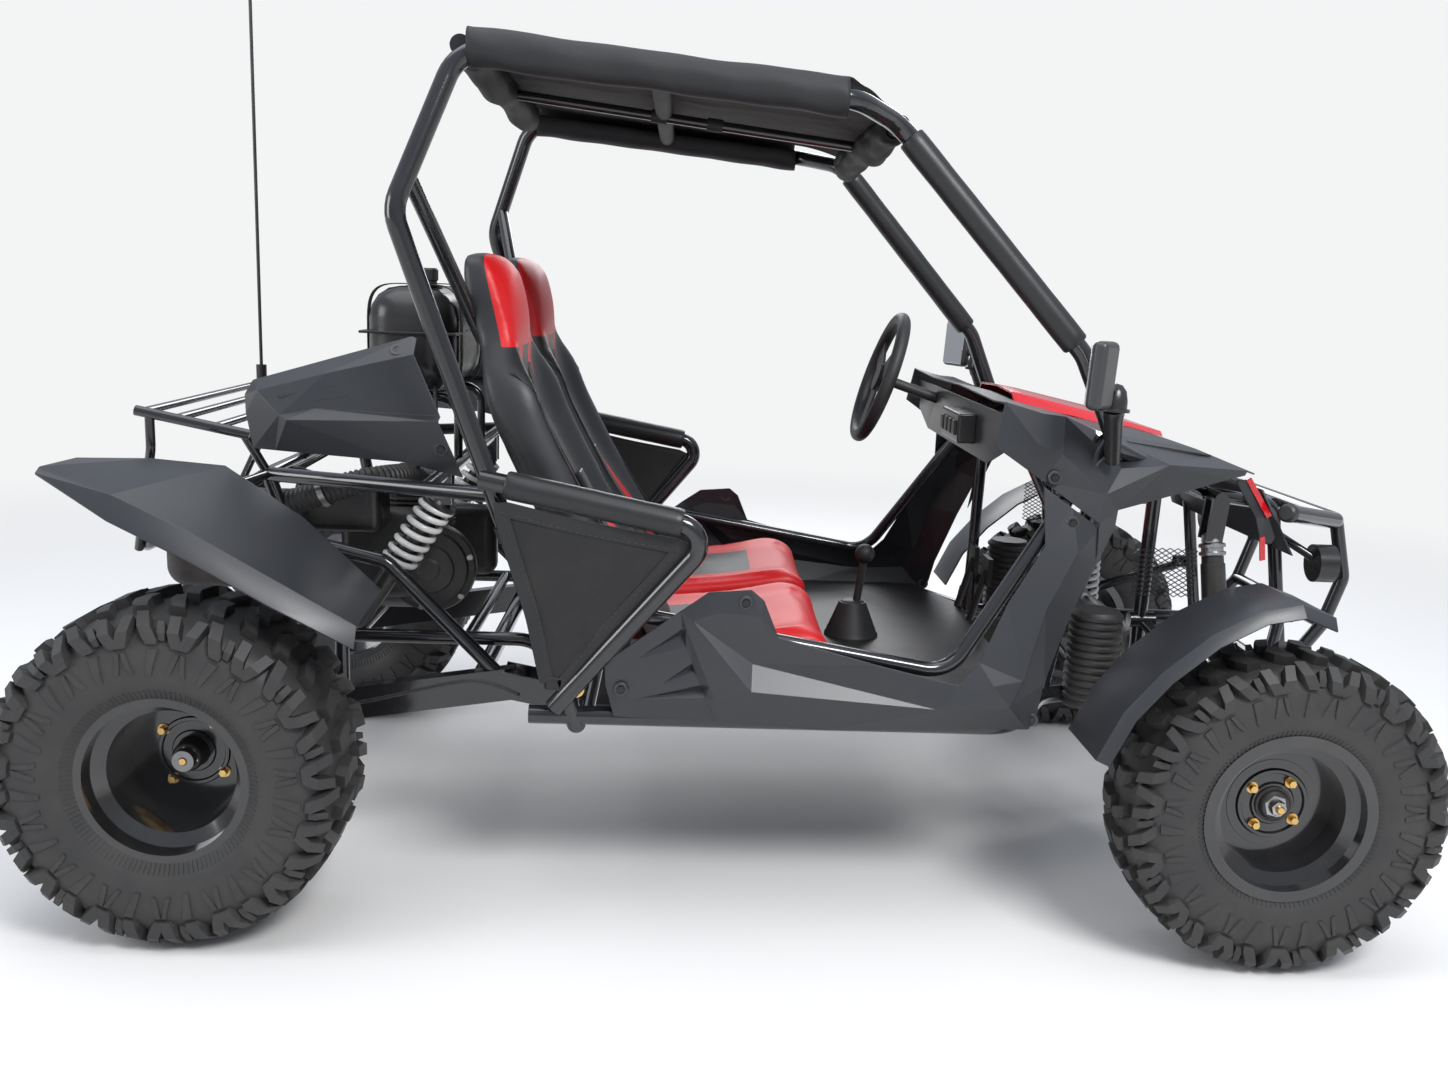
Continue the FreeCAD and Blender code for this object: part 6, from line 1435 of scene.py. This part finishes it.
for side, word in SIDES:
    lens = [(0, 0.006), (0.012, 0.0055), (0.024, 0.003), (0.031, -0.001), (0.031, -0.004), (0, -0.004)]
    lathe(f"lamp_lens_{word}", lens, at(2001, side * 262, 600), Vector((1, 0, 0)), "chassis", lens_clear, 32)

# Nose: red strips beside the hood's tip, a folded plastic cheek below it that is bolted to the nose, and a dark
# strip along the deck that paints the shade of its groove.
steel_black = finish("black_steel", (0.03, 0.03, 0.032), (0.045, 0.045, 0.046), (0.25, 0.4), metal=0.8, dust=0.05)
CHEEK_SPOTS = {"top_rear": (1779, 757, 322), "top_fore": (1800, 759, 318), "fore": (1852, 690, 308),
               "corner": (1872, 652, 300), "low": (1866, 640, 300), "rear": (1842, 648, 306),
               "fold": (1826, 690, 314)}
for side, word in SIDES:
    facet_skin(f"nose_cheek_{word}", CHEEK_SPOTS, ("top_rear", "top_fore", "fore", "corner", "low", "rear", "fold"),
               (("top_fore", "fold"), ("fold", "corner")), side, 1.0, "nose_panel")
    for k, (high, low) in enumerate((((1803, 760), (1851, 692)), ((1839, 656), (1848, 612)))):
        first, last = at(high[0], side * 319, high[1]), at(low[0], side * 311, low[1])
        line = [first.lerp(last, n / 4) for n in range(5)]
        strip(f"nose_strip_{word}_{k}", line, 0.010, Vector((1, 0, 0.7)), "chassis", red_gloss, 0.003)
    # A dark strip on the flat deck: painted shade of the groove.
    first, last = at(1575, side * 326, 820.5), at(1738, side * 292, 797.5)
    line = [first.lerp(last, n / 4) for n in range(5)]
    strip(f"deck_groove_painted_shade_{word}", line, 0.011, Vector((0, 1, 0)), "chassis", hose_black, 0.003)

# Behind each front wheel: an expanded steel mesh guard, and a ribbed rubber cover that stands in
# the foot well.
for side, word in SIDES:
    spots = []
    for row in range(20):
        for column in range(16):
            slope = 0.62 if (row + column) % 2 else -0.62
            spots.append((at(1591.5 + 7 * column, side * 380, 557.2 + 4.34 * row), Vector((1, 0, slope))))
    stitches(f"mesh_guard_{word}", spots, long=0.0085, thick=0.0009, material=steel_black)
    cover = [(0, 0.0)]
    for n in range(13):
        cover += [(out, rise + 0.0135 * n) for out, rise in ((0.044, 0.002), (0.0475, 0.005), (0.0475, 0.010),
                                                             (0.044, 0.013))]
    cover += [(0.040, 0.18), (0, 0.18)]
    lathe(f"foot_well_cover_{word}", cover, at(1545, side * 330, 336), Vector((0.02, 0, 1)), "chassis", hose_black,
          48, sharp=40)

# Rear covers' trim: on each side two pressed slashes along the top fold, drawn as dark strips that paint the shade
# in them, and a plastic ring pressed into a hole beside them, with a dark disc that paints the shade in the hole.
for side, word in SIDES:
    for k, (x1, z1, x2, z2) in enumerate(((130, 860, 228, 881), (145, 846, 245, 865))):
        places = [(x1 + (x2 - x1) * n / 5, z1 + (z2 - z1) * n / 5) for n in range(6)]
        line = [at(x, side * (434 + 0.22 * (890 - z)), z) for x, z in places]
        # Dark strips on the cover: painted shade in the pressed slashes.
        strip(f"cover_slash_{word}_{k}", line, 0.004, Vector((0, 0, 1)), "chassis", hose_black, 0.004)
    seat = at(318, side * 412, 941)
    normal = Vector((0, side * 0.62, 0.78))
    ring = [(0.008, 0.0024), (0.0125, 0.0028), (0.0135, 0.0014), (0.0135, -0.003), (0.008, -0.003), (0.008, 0.0024)]
    lathe(f"cover_ring_{word}", ring, seat, normal, "chassis", shell_plastic, 32, sharp=30)
    # A dark disc inside the ring: painted shade in the hole.
    lathe(f"cover_hole_painted_shade_{word}", [(0, 0.0016), (0.0082, 0.0016), (0.0082, -0.003), (0, -0.003)], seat, normal,
          "chassis", hose_black, 24, sharp=30)

# Switches on the dash: a moulded black box with a row of rockers, screwed under the rear edge of
# the cowl.
casting("switch_box", (1302, -190, 792), (1338, -30, 848), 5, tank_black)
for k in range(4):
    casting(f"rocker_{k}", (1297, -176 + 36 * k, 806), (1306, -152 + 36 * k, 834), 2.5, plug_black)

# Bolts that hold the mouldings to the frame: black steel heads in plastic recesses, and one
# brass head at the foot of each hoop.
BOLT_PLACES = ((702, 539, 409), (902, 545, 562), (1247, 544, 412), (1407, 482, 774), (1441, 489, 700),
               (1392, 514, 366), (395, 450, 784))
for side, word in SIDES:
    out = OUT[side]
    for k, (x, y, z) in enumerate(BOLT_PLACES):
        ring = [(0.0075, 0.002), (0.0105, 0.0024), (0.012, 0.0008), (0.012, -0.003), (0.0075, -0.003),
                (0.0075, 0.002)]
        lathe(f"bolt_recess_{word}_{k}", ring, at(x, side * y, z), out, "chassis", shell_plastic, 32,
              sharp=30)
        fasteners(f"panel_bolt_{word}_{k}", [(at(x, side * y, z), out)], "chassis", steel_black, 0.0062, 0.004,
                  0.0074)
    fasteners(f"frame_bolts_{word}", [(at(627, side * 519, 400), out)], "chassis", brass, 0.009, 0.008, 0.014)

# Camera at the photograph's own place, level with the roof and turned down a little, with the
# lens that fits the photograph. Four soft lamps and a pale sky light the buggy.
camera = linked("photo_camera", bpy.data.cameras.new("photo_camera"))
EYE, SENSOR_MM, LENS_MM = (-0.11, -2.6285, 1.0691), 36, 32.9
yaw, pitch, roll = 0.0367, 0.1938, 0.0371
ahead = Vector((math.sin(yaw) * math.cos(pitch), math.cos(yaw) * math.cos(pitch), -math.sin(pitch)))
right = Vector((math.cos(yaw), -math.sin(yaw), 0))
over = right.cross(ahead)
right, over = (right * math.cos(roll) + over * math.sin(roll), over * math.cos(roll) - right * math.sin(roll))
camera.matrix_world = Matrix.Translation(EYE) @ Matrix((right, over, -ahead)).transposed().to_4x4()
camera.data.sensor_width = SENSOR_MM
camera.data.lens = LENS_MM
bpy.context.scene.camera = camera


def lamp(name, place, target, size, power):
    """A soft rectangular lamp that looks at a target."""
    light = bpy.data.lights.new(name, "AREA")
    light.shape = "RECTANGLE"
    light.size, light.size_y = size
    light.energy = power
    holder = linked(name, light)
    holder.location = place
    holder.rotation_euler = (Vector(target) - Vector(place)).to_track_quat("-Z", "Y").to_euler()


lamp("sun_side", (1.6, -3.2, 3.6), (0.1, 0, 0.6), (1.6, 1.2), 170)
lamp("sky_top", (-0.6, -0.4, 4.2), (0, 0, 0.6), (4, 3), 70)
lamp("rear_fill", (-3.6, -1.5, 1.8), (-0.6, 0, 0.6), (1.6, 1.6), 45)
lamp("far_fill", (0.5, 3.6, 2.6), (0, 0, 0.6), (2.4, 1.6), 60)

# The floor is pale and catches the buggy's shadow. Away from the buggy it fades into the backdrop
# for the camera and for reflections only, so that no horizon shows.
BACKDROP = (0.9, 0.905, 0.91, 1)
floor_mesh = bpy.data.meshes.new("studio_floor")
FLOOR_HALF, FLOOR_DROP = 60, 0.001
corners = [(x * FLOOR_HALF, y * FLOOR_HALF, -FLOOR_DROP) for x, y in ((-1, -1), (1, -1), (1, 1), (-1, 1))]
floor_mesh.from_pydata(corners, [], [(0, 1, 2, 3)])
floor_paint = finish("studio_floor", (0.78, 0.77, 0.755), (0.77, 0.76, 0.745), (0.7, 0.85), 20, 0.02, 0.0)
tree = floor_paint.node_tree
paint, surface = tree.nodes["Principled BSDF"], tree.nodes["Material Output"]
fade, glow, rays, spot, far, ramp, seen = (tree.nodes.new(kind) for kind in (
    "ShaderNodeMixShader", "ShaderNodeEmission", "ShaderNodeLightPath", "ShaderNodeTexCoord",
    "ShaderNodeVectorMath", "ShaderNodeMapRange", "ShaderNodeMath"))
glow.inputs[0].default_value = BACKDROP
far.operation = "LENGTH"
ramp.interpolation_type = "SMOOTHSTEP"
ramp.inputs["From Min"].default_value = 1.6
ramp.inputs["From Max"].default_value = 5.5
seen.operation = "MULTIPLY"
either = tree.nodes.new("ShaderNodeMath")
either.operation = "MAXIMUM"
wire(tree, ((spot, "Object"), (far, 0)), ((far, "Value"), (ramp, 0)), ((rays, "Is Camera Ray"), (either, 0)),
     ((rays, "Is Glossy Ray"), (either, 1)), ((ramp, 0), (seen, 0)), ((either, 0), (seen, 1)),
     ((seen, 0), (fade, 0)), ((paint, 0), (fade, 1)), ((glow, 0), (fade, 2)), ((fade, 0), (surface, 0)))
floor_mesh.materials.append(floor_paint)
floor = linked("studio_floor", floor_mesh)

world = bpy.data.worlds.new("daylight")
bpy.context.scene.world = world
world.use_nodes = True
sky = world.node_tree
sky.nodes.clear()
out, shown, seen, light_sky = (sky.nodes.new(kind) for kind in
                               ("ShaderNodeOutputWorld", "ShaderNodeMixShader", "ShaderNodeBackground",
                                "ShaderNodeBackground"))
rays, either = sky.nodes.new("ShaderNodeLightPath"), sky.nodes.new("ShaderNodeMath")
either.operation = "MAXIMUM"
seen.inputs[0].default_value = BACKDROP
place, split = sky.nodes.new("ShaderNodeTexCoord"), sky.nodes.new("ShaderNodeSeparateXYZ")
ramp = sky.nodes.new("ShaderNodeValToRGB")
ramp.color_ramp.elements[0].position, ramp.color_ramp.elements[0].color = 0.35, (0.34, 0.32, 0.3, 1)
ramp.color_ramp.elements[1].position, ramp.color_ramp.elements[1].color = 0.8, (0.75, 0.82, 0.95, 1)
lift = sky.nodes.new("ShaderNodeMapRange")
lift.inputs["From Min"].default_value = -1
light_sky.inputs[1].default_value = 0.75
wire(sky, ((place, "Generated"), (split, 0)), ((split, 2), (lift, 0)), ((lift, 0), (ramp, 0)),
     ((ramp, 0), (light_sky, 0)), ((rays, "Is Camera Ray"), (either, 0)),
     ((rays, "Is Transmission Ray"), (either, 1)), ((either, 0), (shown, 0)), ((light_sky, 0), (shown, 1)),
     ((seen, 0), (shown, 2)), ((shown, 0), (out, 0)))
bpy.context.scene.view_settings.view_transform = "Standard"
